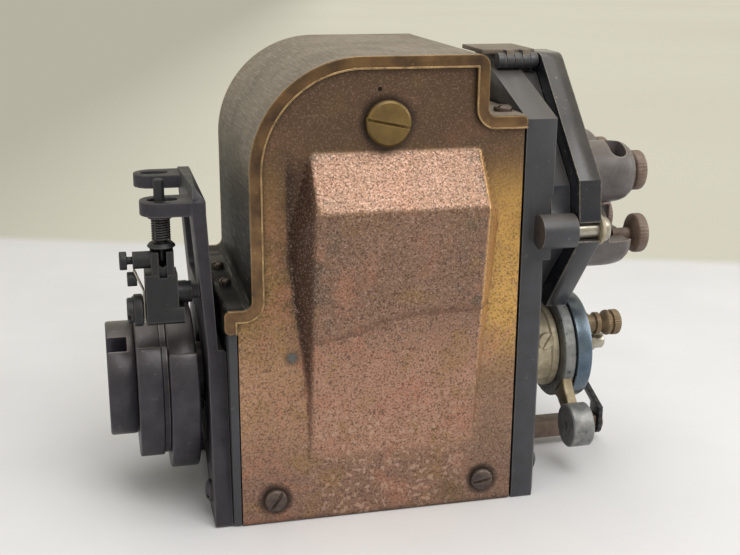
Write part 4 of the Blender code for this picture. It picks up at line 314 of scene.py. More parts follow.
MARGIN_RAGGED = 20.0
TIDE_RAGGED = 4.0
BLOTCH_CENTRE_X = 4.0
# the foot of the bulge's left wall leans, between these two places
WALL_FOOT_LOW = (-27.2, 50.0)
WALL_FOOT_HIGH = (-34.2, 100.0)
# reach of the ambient occlusion that paints shade into the cover's creases
COVER_SHADE_REACH = 3.6
COVER_RAMPS = {
    # what it is drawn from, its start and end (mm, or a level), its value at each, and its ease
    "swing": ("drift", 0.3, 0.7, 0.0, 1.0, EVEN),
    "wiped": ("up", 88.0, 52.0, 0.0, 1.0, SOFT),
    "raised": ("out", -45.1, -45.9, 0.0, 1.0, SOFT),
    "front": ("out", -40.0, -44.0, 0.0, 1.0, EVEN),
    "right_gold": ("right", 42.0, 53.0, 0.0, 1.0, SOFT),
    "right_low": ("up", 52.0, 78.0, 0.1, 1.0, SOFT),
    "right_high": ("up", 142.0, 118.0, 0.15, 1.0, SOFT),
    "left_gold": ("left", -44.0, -54.0, 0.0, 0.25, SOFT),
    "left_low": ("up", 50.0, 90.0, 0.0, 1.0, SOFT),
    "low_strip": ("up", 50.0, 12.0, 0.0, 0.75, SOFT),
    "high_strip": ("up", 108.0, 146.0, 0.0, 0.95, SOFT),
    "lower_half": ("up", 125.0, 90.0, 0.2, 1.0, EVEN),
    "rosy": ("patches", 0.53, 0.66, 0.0, 0.5, EVEN),
    "olive": ("patches", 0.46, 0.35, 0.0, 0.48, EVEN),
    "blot_edges": ("aside", 16.0, 27.0, 0.0, 0.7, EVEN),
    "blot_low": ("up", 70.0, 82.0, 0.0, 1.0, EVEN),
    "blots": ("drift", 0.5, 0.6, 0.0, 1.0, EVEN),
    "dull_side": ("across", 31.0, 40.0, 0.0, 0.65, EVEN),
    "dull_low": ("up", 62.0, 48.0, 0.0, 1.0, EVEN),
    # where the bulge's left wall takes its painted shade
    "wall_corner": ("across", -25.4, -27.6, 0.0, 1.0, SOFT),
    "wall_foot": ("past_foot", -1.1, 0.8, 0.0, 1.0, SOFT),
    "wall_depth": ("past_foot", 0.5, 3.5, 0.0, 1.0, EVEN),
    "wall_top": ("up", 139.0, 130.0, 0.0, 1.0, EVEN),
    "wall_bottom": ("up", 18.0, 26.0, 0.0, 1.0, EVEN),
    "wall_fading": ("up", 18.0, 60.0, 0.45, 0.88, EVEN),
    # the bulge's right edge, where a painted highlight runs
    "right_edge_highlight": ("across", 33.8, 35.2, 0.0, 1.0, SOFT),
    "edge_highlight_low": ("up", 45.0, 85.0, 0.15, 1.0, SOFT),
    "spread": ("up", 130.0, 90.0, 0.4, 0.85, EVEN),
    "peppered": ("pepper", 0.48, 0.63, 0.0, 0.78, EVEN),
    "salted": ("salt", 0.53, 0.68, 0.0, 0.45, EVEN),
    "flecks": ("scatter", 0.58, 0.66, 0.0, 0.55, EVEN),
    "fleck_low": ("up", 56.0, 36.0, 0.0, 1.0, SOFT),
    "fleck_side": ("aside", 36.0, 22.0, 0.0, 1.0, EVEN),
    # the tide line's dark band, partly stain and partly painted shade above the crease
    "tide_shade_above": ("tide", 1.5, 2.2, 0.0, 1.0, EVEN),
    "tide_shade_below": ("tide", 5.8, 2.2, 0.0, 0.5, EVEN),
    "halo": ("verdigris", 5.2, 3.2, 0.0, 0.6, EVEN),
    "stain": ("verdigris", 3.8, 2.6, 0.0, 0.75, EVEN),
    "oil_stain": ("oil", 14.5, 6.0, 0.0, 0.6, EVEN),
    "hole": ("drill", 0.9, 0.6, 0.0, 1.0, EVEN),
    "left_ring": ("left_screw", 9.1, 6.2, 0.0, 0.85, SOFT),
    "right_ring": ("right_screw", 9.1, 6.2, 0.0, 0.85, SOFT),
    "tie_ring": ("tie_screw", 12.9, 10.0, 0.0, 0.6, SOFT),
    "crease_shade_and_grime": ("occlusion_shade", 0.84, 0.45, 0.0, 0.85, EVEN),
    "rough": ("pepper", 0.3, 0.7, 0.34, 0.54, EVEN),
}
COVER_TONES = {
    # a deep and a pale tone, each as it was and as it is where the sheet was wiped
    "flat": (("685139", "a27d62"), ("7d613f", "b28b6c")),
    "bulge": (("7e614e", "a67e68"), ("8d6f5d", "b48b74")),
}
# painted shade on the bulge's left wall, darkest at its foot and paler further out
BULGE_WALL_SHADE = ("2c2320", "4b372c")
COVER_LAYERS = (
    # the ramps whose product is the layer's share, and its tone
    # yellow metal shows beside the bulge: a wide band on the right, a narrow streaky one on the left
    (("right_low", "right_high", "right_gold"), "cba058"),
    (("left_gold", "left_low"), "cba058"),
    # the lowest strip reddens, and above the bulge the sheet is olive brown and dull
    (("low_strip",), "7b6055"),
    (("high_strip",), "5b4737"),
    (("raised",), "bulge"),
    # patches where the tarnish turned rosy or olive, over the lower half
    (("rosy", "lower_half"), "b17a61"),
    (("olive", "lower_half"), "967647"),
    # grey-green dirt in blotches towards both edges of the bulge, and a duller corner low on the right
    (("blot_edges", "blot_low", "blots", "raised"), "574f43"),
    (("dull_side", "dull_low"), "7b6455"),
    # painted shade darkens the bulge's left wall, and a painted highlight runs down its right edge
    (("wall_corner", "wall_foot", "front", "wall_top", "wall_bottom", "wall_fading"), "bulge_wall_shade"),
    (("right_edge_highlight", "raised", "edge_highlight_low"), "cfa064"),
    # salt and pepper, strongest on the bulge and least on the brown top
    (("peppered", "speckled"), "4a382f"),
    (("salted", "speckled"), "c0a292"),
    # pale flecks scattered over the foot of the bulge and below it
    (("fleck_low", "fleck_side", "flecks"), "c3a48f"),
    # a dried tide line climbs across the bulge, darkened just above the crease by painted shade
    (("tide_shade_above", "tide_shade_below", "raised"), "5b4234"),
    # old stains on the flat: verdigris left of the bulge and oil at the bottom
    (("halo",), "3b332b"),
    (("stain",), "5b656a"),
    (("oil_stain",), "5d5231"),
    # a small drilled hole above the tie screw, painted dark for the shade inside it
    (("hole",), "16120f"),
    # a dark ring is painted round each screw head
    (("left_ring",), "2a2320"),
    (("right_ring",), "2a2320"),
    (("tie_ring",), "2a2320"),
    # painted shade from ambient occlusion, with some grime, darkens the sheet where it meets the edging and
    # the screw heads
    (("crease_shade_and_grime",), "2b221d"),
)


def cover_fields(tree, place):
    """By name, what the cover's ramps are drawn from: its axes, its noises and distances from its marks."""
    axes = add(tree, "ShaderNodeSeparateXYZ", {"Vector": place})
    at = {"across": axes.outputs["X"], "out": axes.outputs["Y"], "up": axes.outputs["Z"]}
    for name, (size, detail, roughness, distortion) in COVER_NOISES.items():
        at[name] = add(tree, "ShaderNodeTexNoise", {"Vector": place, "Scale": per_mm(size), "Detail": detail,
                                                    "Roughness": roughness, "Distortion": distortion})
    for name, (spot, noise, ragged) in COVER_SPOTS.items():
        off = add(tree, "ShaderNodeVectorMath", {0: place, 1: Vector(spot) * MM}, operation="DISTANCE")
        at[name] = add(tree, "ShaderNodeMath", {0: at[noise], 1: ragged * MM, 2: off.outputs["Value"]},
                       operation="MULTIPLY_ADD")
    reach = add(tree, "ShaderNodeMath", {0: at["clouds"], 1: MARGIN_RAGGED * MM}, operation="MULTIPLY")
    at["right"] = add(tree, "ShaderNodeMath", {0: at["across"], 1: reach}, operation="ADD")
    at["left"] = add(tree, "ShaderNodeMath", {0: at["across"], 1: reach}, operation="SUBTRACT")
    beside = add(tree, "ShaderNodeMath", {0: at["across"], 1: BLOTCH_CENTRE_X * MM}, operation="SUBTRACT")
    at["aside"] = add(tree, "ShaderNodeMath", {0: beside}, operation="ABSOLUTE")
    foot_x = add(tree, "ShaderNodeMapRange", {
        "Value": at["up"], "From Min": WALL_FOOT_LOW[1] * MM, "From Max": WALL_FOOT_HIGH[1] * MM,
        "To Min": WALL_FOOT_LOW[0] * MM, "To Max": WALL_FOOT_HIGH[0] * MM})
    at["past_foot"] = add(tree, "ShaderNodeMath", {0: at["across"], 1: foot_x}, operation="SUBTRACT")
    line = add(tree, "ShaderNodeMapRange", {
        "Value": at["across"], "From Min": CREASE_LOW[0] * MM, "From Max": CREASE_HIGH[0] * MM,
        "To Min": CREASE_LOW[1] * MM, "To Max": CREASE_HIGH[1] * MM}, interpolation_type=SOFT)
    over = add(tree, "ShaderNodeMath", {0: at["up"], 1: line}, operation="SUBTRACT")
    at["tide"] = add(tree, "ShaderNodeMath", {0: at["drift"], 1: TIDE_RAGGED * MM, 2: over},
                     operation="MULTIPLY_ADD")
    # painted shade: ambient occlusion finds the creases at the edging, the screw heads and the bulge's foot
    occlusion_shade = add(tree, "ShaderNodeAmbientOcclusion", {"Distance": COVER_SHADE_REACH * MM}, samples=8)
    at["occlusion_shade"] = occlusion_shade.outputs["AO"]
    return at


def cover_tones(tree, at):
    """By name, the tones that vary over the cover."""
    tones = {}
    for name, pairs in COVER_TONES.items():
        deep, pale = (
            add(tree, "ShaderNodeMix", {0: at["wiped"], COLOUR_A: linear(before), COLOUR_B: linear(after)},
                data_type="RGBA")
            for before, after in pairs)
        tones[name] = add(tree, "ShaderNodeMix", {0: at["swing"], COLOUR_A: deep, COLOUR_B: pale},
                          data_type="RGBA")
    near, far = BULGE_WALL_SHADE
    tones["bulge_wall_shade"] = add(tree, "ShaderNodeMix", {0: at["wall_depth"], COLOUR_A: linear(near),
                                                     COLOUR_B: linear(far)}, data_type="RGBA")
    return tones


def tarnished_cover_brass():
    """Pressed brass sheet: the raised bulge has gone pink and speckled, the flat stays yellow-brown."""
    material, tree, shader, place = begin("tarnished_cover_brass", 0.68, 0.42)
    at = cover_fields(tree, place)
    for name, (field, start, end, least, most, ease) in COVER_RAMPS.items():
        unit = 1.0 if field in COVER_NOISES or field == "occlusion_shade" else MM
        at[name] = add(tree, "ShaderNodeMapRange", {
            "Value": at[field], "From Min": start * unit, "From Max": end * unit, "To Min": least,
            "To Max": most}, interpolation_type=ease)
    at["speckled"] = add(tree, "ShaderNodeMath", {0: at["raised"], 1: at["spread"]}, operation="MAXIMUM")
    tones = cover_tones(tree, at)
    colour = tones["flat"]
    for shares, tone in COVER_LAYERS:
        share = at[shares[0]]
        for factor in shares[1:]:
            share = add(tree, "ShaderNodeMath", {0: share, 1: at[factor]}, operation="MULTIPLY")
        colour = add(tree, "ShaderNodeMix", {0: share, COLOUR_A: colour,
                                             COLOUR_B: tones[tone] if tone in tones else linear(tone)},
                     data_type="RGBA")
    tree.links.new(colour.outputs[2], shader.inputs["Base Color"])
    tree.links.new(at["rough"].outputs[0], shader.inputs["Roughness"])
    bump = add(tree, "ShaderNodeBump", {"Height": at["pepper"], "Strength": 0.25, "Distance": 0.12 * MM})
    tree.links.new(bump.outputs[0], shader.inputs["Normal"])
    return material


def darkened_sheet_brass():
    """Rolled brass sheet gone grey: fine crossed scratches along the sheet, with painted shade making it
    darker and bluer down the leg.
    """
    material, tree, shader, place = begin("darkened_sheet_brass", 0.35, 0.5)
    shader.inputs["Specular IOR Level"].default_value = 0.12
    along = add(tree, "ShaderNodeUVMap", uv_map="unrolled").outputs["UV"]
    axes = add(tree, "ShaderNodeSeparateXYZ", {"Vector": place})
    clouds = add(tree, "ShaderNodeTexNoise", {"Vector": place, "Scale": per_mm(16), "Detail": 5.0})
    swing = add(tree, "ShaderNodeMapRange", {"Value": clouds, "From Min": 0.32, "From Max": 0.68})
    down = add(tree, "ShaderNodeMapRange", {"Value": axes.outputs["Z"], "From Min": HOOD_GREY_TO * MM,
                                            "From Max": HOOD_DARK_FROM * MM}, interpolation_type=SOFT)
    # scratches cross the sheet two ways: noise drawn out into lines along its unrolled length
    first, second = (
        add(tree, "ShaderNodeTexNoise", {"Scale": 1.0, "Detail": 2.0, "Vector": add(
            tree, "ShaderNodeMapping", {"Vector": along, "Rotation": (0.0, 0.0, math.radians(turn)),
                                        "Scale": (per_mm(width), per_mm(length), 1.0)})})
        for turn, width, length in HOOD_SCRATCHES)
    lines = add(tree, "ShaderNodeMath", {0: first, 1: second}, operation="MAXIMUM")
    scratch = add(tree, "ShaderNodeMapRange", {"Value": lines, "From Min": 0.58, "From Max": 0.72,
                                               "To Max": 0.5})
    fade = add(tree, "ShaderNodeMapRange", {"Value": down, "To Min": 1.0, "To Max": 0.35})
    kept = add(tree, "ShaderNodeMath", {0: scratch, 1: fade}, operation="MULTIPLY")
    dints = add(tree, "ShaderNodeTexNoise", {"Vector": place, "Scale": per_mm(3), "Detail": 3.0})
    dinted = add(tree, "ShaderNodeMapRange", {"Value": dints, "From Min": 0.58, "From Max": 0.74,
                                              "To Max": 0.5})
    colour = add(tree, "ShaderNodeMix", {0: swing, COLOUR_A: linear("82776a"), COLOUR_B: linear("6d6459")},
                 data_type="RGBA")
    # near black down the leg is painted shade; the pale tone is scratches and the dark one dints
    for share, tone in ((down, "08090b"), (kept, "a0968a"), (dinted, "3a342d")):
        colour = add(tree, "ShaderNodeMix", {0: share, COLOUR_A: colour, COLOUR_B: linear(tone)},
                     data_type="RGBA")
    tree.links.new(colour.outputs[2], shader.inputs["Base Color"])
    rough = add(tree, "ShaderNodeMapRange", {"Value": lines, "From Min": 0.4, "From Max": 0.7, "To Min": 0.58,
                                             "To Max": 0.44})
    tree.links.new(rough.outputs[0], shader.inputs["Roughness"])
    bump = add(tree, "ShaderNodeBump", {"Height": lines, "Strength": 0.12, "Distance": 0.1 * MM})
    tree.links.new(bump.outputs[0], shader.inputs["Normal"])
    return material


def weathered(name, body, dark, worn, metallic, roughness, cloud_mm=7.0, wear_mm=0.8, grit=0.2, rub_from=0.14,
              top_dust_and_shade=0.4, top_dust_and_shade_tone="857868"):
    """A worked surface: clouded tone, chips, edges rubbed to the worn tone, grit in the bump, dust on top,
    which on the black irons is painted shade.
    """
    material, tree, shader, place = begin(name, metallic, roughness)
    clouds, sand, flecks = (
        add(tree, "ShaderNodeTexNoise", {"Vector": place, "Scale": per_mm(size), "Detail": detail,
                                         "Roughness": falloff})
        for size, detail, falloff in ((cloud_mm, 6.0, 0.62), (SAND_GRAIN, 3.0, 0.6), (CHIP_SIZE, 4.0, 0.65)))
    swing = add(tree, "ShaderNodeMapRange", {"Value": clouds, "From Min": 0.34, "From Max": 0.68})
    chip = add(tree, "ShaderNodeMapRange", {"Value": flecks, "From Min": 0.64, "From Max": 0.74,
                                            "To Max": 0.4})
    # at an edge the rounded normal turns away from the flat one
    rounded = add(tree, "ShaderNodeBevel", {"Radius": wear_mm * MM}, samples=4)
    flat = add(tree, "ShaderNodeNewGeometry")
    along = add(tree, "ShaderNodeVectorMath", {0: rounded.outputs[0], 1: flat.outputs["Normal"]},
                operation="DOT_PRODUCT")
    edge = add(tree, "ShaderNodeMapRange", {"Value": along.outputs["Value"], "From Min": 0.985,
                                            "From Max": 0.86})
    broken = add(tree, "ShaderNodeMath", {0: edge, 1: sand}, operation="MULTIPLY")
    rub = add(tree, "ShaderNodeMapRange", {"Value": broken, "From Min": rub_from, "From Max": 0.5,
                                           "To Max": 0.85})
    # dust settles on what faces up; on the black irons the same share paints the tops nearly black as painted
    # shade
    facing = add(tree, "ShaderNodeSeparateXYZ", {"Vector": add(tree, "ShaderNodeTexCoord").outputs["Normal"]})
    level = add(tree, "ShaderNodeMapRange", {"Value": facing.outputs["Z"], "From Min": 0.35, "From Max": 0.95,
                                             "To Max": top_dust_and_shade})
    dust_and_shade_on_top = add(tree, "ShaderNodeMath", {0: level, 1: clouds}, operation="MULTIPLY")
    colour = add(tree, "ShaderNodeMix", {0: swing, COLOUR_A: linear(body), COLOUR_B: linear(dark)},
                 data_type="RGBA")
    for share, tone in ((chip, worn), (rub, worn), (dust_and_shade_on_top, top_dust_and_shade_tone)):
        colour = add(tree, "ShaderNodeMix", {0: share, COLOUR_A: colour, COLOUR_B: linear(tone)},
                     data_type="RGBA")
    tree.links.new(colour.outputs[2], shader.inputs["Base Color"])
    rough = add(tree, "ShaderNodeMapRange", {
        "Value": clouds, "From Min": 0.3, "From Max": 0.7, "To Min": max(roughness - 0.07, 0.05),
        "To Max": roughness + 0.1})
    tree.links.new(rough.outputs[0], shader.inputs["Roughness"])
    bump = add(tree, "ShaderNodeBump", {"Height": sand, "Strength": grit, "Distance": 0.2 * MM})
    tree.links.new(bump.outputs[0], shader.inputs["Normal"])
    return material


def pitted_cast_aluminium():
    """Die-cast aluminium: pale oxide, dark pits and soft cloudy stains."""
    material, tree, shader, place = begin("pitted_cast_aluminium", 0.5, 0.5)
    clouds = add(tree, "ShaderNodeTexNoise", {"Vector": place, "Scale": per_mm(5), "Detail": 5.0,
                                              "Roughness": 0.6})
    pits = add(tree, "ShaderNodeTexVoronoi", {"Vector": place, "Scale": per_mm(2.2), "Randomness": 1.0})
    swing = add(tree, "ShaderNodeMapRange", {"Value": clouds, "From Min": 0.34, "From Max": 0.68})
    pit = add(tree, "ShaderNodeMapRange", {"Value": pits.outputs["Distance"], "From Min": 0.34,
                                           "From Max": 0.12})
    deep = add(tree, "ShaderNodeMath", {0: pit, 1: swing}, operation="MULTIPLY")
    oxide = add(tree, "ShaderNodeMix", {0: swing, COLOUR_A: linear("8f8f8d"), COLOUR_B: linear("686a6a")},
                data_type="RGBA")
    colour = add(tree, "ShaderNodeMix", {0: deep, COLOUR_A: oxide, COLOUR_B: linear("45464a")},
                 data_type="RGBA")
    tree.links.new(colour.outputs[2], shader.inputs["Base Color"])
    rough = add(tree, "ShaderNodeMapRange", {"Value": clouds, "From Min": 0.3, "From Max": 0.7, "To Min": 0.4,
                                             "To Max": 0.62})
    tree.links.new(rough.outputs[0], shader.inputs["Roughness"])
    bump = add(tree, "ShaderNodeBump", {"Height": deep, "Strength": 0.4, "Distance": 0.2 * MM}, invert=True)
    tree.links.new(bump.outputs[0], shader.inputs["Normal"])
    return material


def ribbed_black_strap():
    """Blackened spring strip with fine cross ribs."""
    material, tree, shader, place = begin("ribbed_black_strap", 0.2, 0.5)
    ribs = add(tree, "ShaderNodeTexWave", {"Vector": place, "Scale": per_mm(1.5) / math.tau},
               wave_type="BANDS", bands_direction="Z")
    clouds = add(tree, "ShaderNodeTexNoise", {"Vector": place, "Scale": per_mm(4), "Detail": 4.0})
    tone = add(tree, "ShaderNodeMath", {0: ribs.outputs["Fac"], 1: clouds}, operation="MULTIPLY")
    colour = add(tree, "ShaderNodeMix", {0: tone, COLOUR_A: linear("202124"), COLOUR_B: linear("4b4a4a")},
                 data_type="RGBA")
    tree.links.new(colour.outputs[2], shader.inputs["Base Color"])
    bump = add(tree, "ShaderNodeBump", {"Height": ribs.outputs["Fac"], "Strength": 0.6, "Distance": 0.3 * MM})
    tree.links.new(bump.outputs[0], shader.inputs["Normal"])
    return material


# Each weathered finish gives its body, dark and worn tones, metallic and roughness, and may give its cloud
# size, edge wear, grit, where rubbing starts, how much dust, or on the black irons painted shade, lies on top
# and its tone
FINISH = {
    "patinated_brass": tarnished_cover_brass(),
    "hood_brass": darkened_sheet_brass(),
    # stoved black enamel on sand castings: charcoal, satin, rubbed pale at the corners
    "black_enamel": weathered("stoved_black_enamel", "393a3f", "2e2f33", "77736d", 0.0, 0.42, 9.0, 0.7, 0.25),
    # hard rubber moulding, polished blue-black, its corners scuffed to cream
    "hard_rubber": weathered("polished_hard_rubber", "24262c", "181a1f", "a89c86", 0.0, 0.2, 12.0, 1.0, 0.12,
                             0.2),
    # the same rubber after years of sun: grey-brown and satin
    "aged_rubber": weathered("sun_greyed_hard_rubber", "605957", "474140", "a3968a", 0.0, 0.38, 7.0, 0.9,
                             0.15, 0.1),
    # moulded finger nuts, brown from hands and weather
    "brown_nut": weathered("brown_moulded_resin", "756255", "58463b", "9c8874", 0.0, 0.52, 4.0, 0.6, 0.2),
    # oiled gunmetal, near black with a faint violet cast
    "gunmetal": weathered("oiled_gunmetal", "3f3c43", "2c2b31", "7d7676", 0.45, 0.36, 7.0, 1.0, 0.2, 0.1),
    # nickelled steel, turned bright and a little yellowed
    "bright_steel": weathered("nickelled_steel", "b3ada0", "948e82", "d3ccbd", 0.8, 0.3, 4.0, 0.5, 0.1),
    # browned screw steel
    "dark_steel": weathered("browned_steel", "5d5048", "43393a", "8f7d6b", 0.6, 0.45, 3.0, 0.5, 0.2),
    # spring steel, blued in the fire
    "blued_steel": weathered("fire_blued_steel", "65737f", "465767", "a6b0b6", 0.65, 0.24, 9.0, 0.6, 0.08),
    "cast_aluminium": pitted_cast_aluminium(),
    # hardened magnet steel under the hood
    "magnet_steel": weathered("hardened_magnet_steel", "58585c", "424246", "84848a", 0.8, 0.5, 8.0),
    # stacked soft-iron sheets
    "laminated_iron": weathered("soft_iron_laminations", "6a6663", "4d4a48", "8d8984", 0.8, 0.52, 5.0),
    # cut bronze
    "bronze": weathered("cut_bronze", "93733f", "6d542d", "c2a062", 0.9, 0.4, 5.0),
    # varnished winding
    "varnished_coil": weathered("varnished_winding", "3c2a20", "2a1d16", "6b4d3a", 0.0, 0.3, 6.0),
    # vulcanised fibre
    "red_fibre": weathered("red_vulcanised_fibre", "6e362a", "54261d", "8f5143", 0.0, 0.6, 5.0),
}
# oily black iron of the trip gear: its tops painted nearly black as painted shade, rubbed grey at the corners
TRIP_IRON = weathered("oily_black_iron", "1a1b20", "121316", "55514f", 0.1, 0.5, 6.0, 0.9, 0.3, 0.1, 1.8,
                      "07080a")
# the bracket's iron, browned where hands and oil have been, its tops painted nearly black as painted shade
BRACKET_IRON = weathered("browned_bracket_iron", "302d34", "222127", "6b6364", 0.15, 0.5, 8.0, 1.0, 0.3, 0.1,
                         1.8, "08080b")
# rolled brass edging, browned in the flat; its thin bead is painted pale as a painted highlight
EDGING = weathered("handled_brass_edging", "7d6042", "44352a", "ae8d60", 0.75, 0.3, 10.0, 0.9, 0.12, 0.08)
BEAD = weathered("brass_bead_painted_highlight", "b89768", "6f583d", "dcc193", 0.7, 0.3, 3.0, 0.4, 0.08)
# aged brass screw heads
SCREW_BRASS = weathered("aged_screw_brass", "796338", "65512f", "b08f57", 0.65, 0.4, 5.0, 0.5, 0.15)
# turned bronze collar, dulled to tan, and the browner lever beside it
COLLAR_BRONZE = weathered("dulled_bronze", "c9bda1", "9c9078", "ddd3ba", 0.3, 0.45, 4.0, 0.5, 0.2)
LEVER_BRONZE = weathered("browned_bronze", "8f8164", "6c604a", "b5a686", 0.4, 0.45, 3.0, 0.5, 0.2)
# grounding nut, tan from brass showing through
GROUND_BRASS = weathered("browned_brass_nut", "7d6a50", "5f4e3a", "a48c68", 0.4, 0.48, 3.0, 0.5, 0.2)
# paper washer gone cream
WASHER = weathered("cream_fibre_washer", "a89d84", "8d8169", "c2b89f", 0.0, 0.6, 3.0, 0.4, 0.15)
STRAP = ribbed_black_strap()


# Modelling helpers

def deselect():
    bpy.ops.object.select_all(action="DESELECT")


def activate(piece):
    deselect()
    piece.select_set(True)
    bpy.context.view_layer.objects.active = piece


def drawn(name, points):
    """A chain of edges through these points, extruded one by one from a single vertex."""
    deselect()
    bpy.ops.mesh.primitive_plane_add(size=1.0)
    piece = bpy.context.object
    piece.name = name
    bpy.ops.object.mode_set(mode="EDIT")
    bpy.ops.mesh.merge(type="CENTER")
    here = Vector(points[0]) * MM
    bpy.ops.transform.translate(value=here)
    for point in points[1:]:
        step = Vector(point) * MM - here
        here = here + step
        bpy.ops.mesh.extrude_region_move(TRANSFORM_OT_translate={"value": step})
    bpy.ops.object.mode_set(mode="OBJECT")
    return piece


def outlined(name, points, way):
    """A closed outline, filled and extruded by way."""
    piece = drawn(name, points)
    bpy.ops.object.mode_set(mode="EDIT")
    bpy.ops.mesh.select_all(action="SELECT")
    bpy.ops.mesh.edge_face_add()
    bpy.ops.mesh.extrude_region_move(TRANSFORM_OT_translate={"value": Vector(way) * MM})
    bpy.ops.mesh.select_all(action="SELECT")
    bpy.ops.mesh.normals_make_consistent(inside=False)
    bpy.ops.object.mode_set(mode="OBJECT")
    return piece


def spun(name, profile, centre, axis="X", steps=72):
    """A turned piece from (radius, place along the axis) pairs, spun about the line through centre."""
    centre = Vector(centre)
    index = "XYZ".index(axis)
    outward = Vector((1, 0, 0)) if axis == "Z" else Vector((0, 0, 1))
    points = []
    for radius, along in profile:
        point = centre + outward * radius
        point[index] = along
        points.append(point)
    way = Vector((0, 0, 0))
    way[index] = 1
    piece = drawn(name, points)
    bpy.ops.object.mode_set(mode="EDIT")
    bpy.ops.mesh.select_all(action="SELECT")
    bpy.ops.mesh.spin(steps=steps, angle=math.tau, center=centre * MM, axis=way)
    bpy.ops.mesh.select_all(action="SELECT")
    bpy.ops.mesh.remove_doubles(threshold=WELD / 2)
    bpy.ops.mesh.normals_make_consistent(inside=False)
    bpy.ops.object.mode_set(mode="OBJECT")
    return piece


def bevelled(piece, width, segments=3):
    """Round the sharp edges of a piece by width."""
    activate(piece)
    rounding = piece.modifiers.new("rounding", "BEVEL")
    rounding.width = width * MM
    rounding.segments = segments
    rounding.limit_method = "ANGLE"
    rounding.angle_limit = BEVEL_ANGLE
    bpy.ops.object.modifier_apply(modifier=rounding.name)
    return piece


def without(piece, *cutters):
    """Cut pieces out of another and remove the cutters."""
    for cutter in cutters:
        activate(piece)
        cut = piece.modifiers.new("cut", "BOOLEAN")
        cut.operation = "DIFFERENCE"
        cut.solver = "EXACT"
        cut.object = cutter
        bpy.ops.object.modifier_apply(modifier=cut.name)
        bpy.data.objects.remove(cutter, do_unlink=True)
    return piece


def bar_cutter(low, high, place=(0, 0, 0), axis="X", turn_deg=0.0):
    """A cutter between two corners, turned about an axis and then moved to its place."""
    low = Vector(low)
    high = Vector(high)
    deselect()
    bpy.ops.mesh.primitive_cube_add(size=1.0, location=(low + high) / 2 * MM, scale=(high - low) * MM)
    bpy.ops.object.transform_apply(location=True, rotation=True, scale=True)
    cutter = bpy.context.object
    turn = Matrix.Rotation(math.radians(turn_deg), 4, axis)
    cutter.data.transform(Matrix.Translation(Vector(place) * MM) @ turn)
    return cutter


def bore_cutter(radius, place, axis, low, high, steps=32):
    """A round cutter along an axis through place."""
    place = Vector(place)
    index = "XYZ".index(axis)
    place[index] = (low + high) / 2
    turn = {"X": (0.0, math.radians(90), 0.0), "Y": (math.radians(90), 0.0, 0.0), "Z": (0.0, 0.0, 0.0)}[axis]
    deselect()
    bpy.ops.mesh.primitive_cylinder_add(vertices=steps, radius=radius * MM, depth=(high - low) * MM,
                                        location=place * MM, rotation=turn)
    bpy.ops.object.transform_apply(location=True, rotation=True, scale=True)
    return bpy.context.object


def goes_with(piece, node, finish=None):
    """Smooth a piece and give it a CAD node's body, slot and finish, or a finish of its own."""
    activate(piece)
    bpy.ops.object.shade_smooth_by_angle(angle=SMOOTH_ANGLE)
    piece.data.materials.clear()
    piece.data.materials.append(finish or FINISH[SLOT_OF[node]])
    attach(piece, BODY_OF[node])
    return piece


def stands_for(piece, node, finish=None):
    """Let a piece stand for a CAD node."""
    goes_with(piece, node, finish)
    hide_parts(node)
    return piece


def node_copy(node, name):
    """A copy of a CAD node with its own mesh, ready to be worked on."""
    piece = bpy.data.objects.new(name, frame["nodes"][node].data.copy())
    bpy.context.scene.collection.objects.link(piece)
    activate(piece)
    return piece


def softened(node, width, finish=None, segments=2, weld=WELD):
    """A welded copy of a CAD node with its edges rounded by width, standing for the node."""
    piece = node_copy(node, f"{node}_softened")
    bpy.ops.object.mode_set(mode="EDIT")
    bpy.ops.mesh.select_all(action="SELECT")
    bpy.ops.mesh.remove_doubles(threshold=weld)
    bpy.ops.mesh.dissolve_limited(angle_limit=FLAT_ANGLE)
    bpy.ops.object.mode_set(mode="OBJECT")
    bevelled(piece, width, segments)
    return stands_for(piece, node, finish)


def copied(piece, name, shift, mirrored=False):
    """A copy of a piece with its own mesh, moved by shift, and turned over left to right if mirrored."""
    double = piece.copy()
    double.data = piece.data.copy()
    double.name = name
    # the first piece's own properties aren't copied
    for key in list(double.keys()):
        del double[key]
    bpy.context.scene.collection.objects.link(double)
    flip = Matrix.Scale(-1, 4, (0, 1, 0)) if mirrored else Matrix.Identity(4)
    double.data.transform(Matrix.Translation(Vector(shift) * MM) @ flip)
    if mirrored:
        double.data.flip_normals()
    return double


def arc(centre_u, centre_v, radius, start_deg, end_deg, steps):
    points = []
    for i in range(steps + 1):
        turn = math.radians(start_deg + (end_deg - start_deg) * i / steps)
        points.append((centre_u + radius * math.cos(turn), centre_v + radius * math.sin(turn)))
    return points


def box_mm(node):
    """A node's lowest and highest corners."""
    low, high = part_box(node)
    return low / MM, high / MM


# Brass hood with its rolled edging

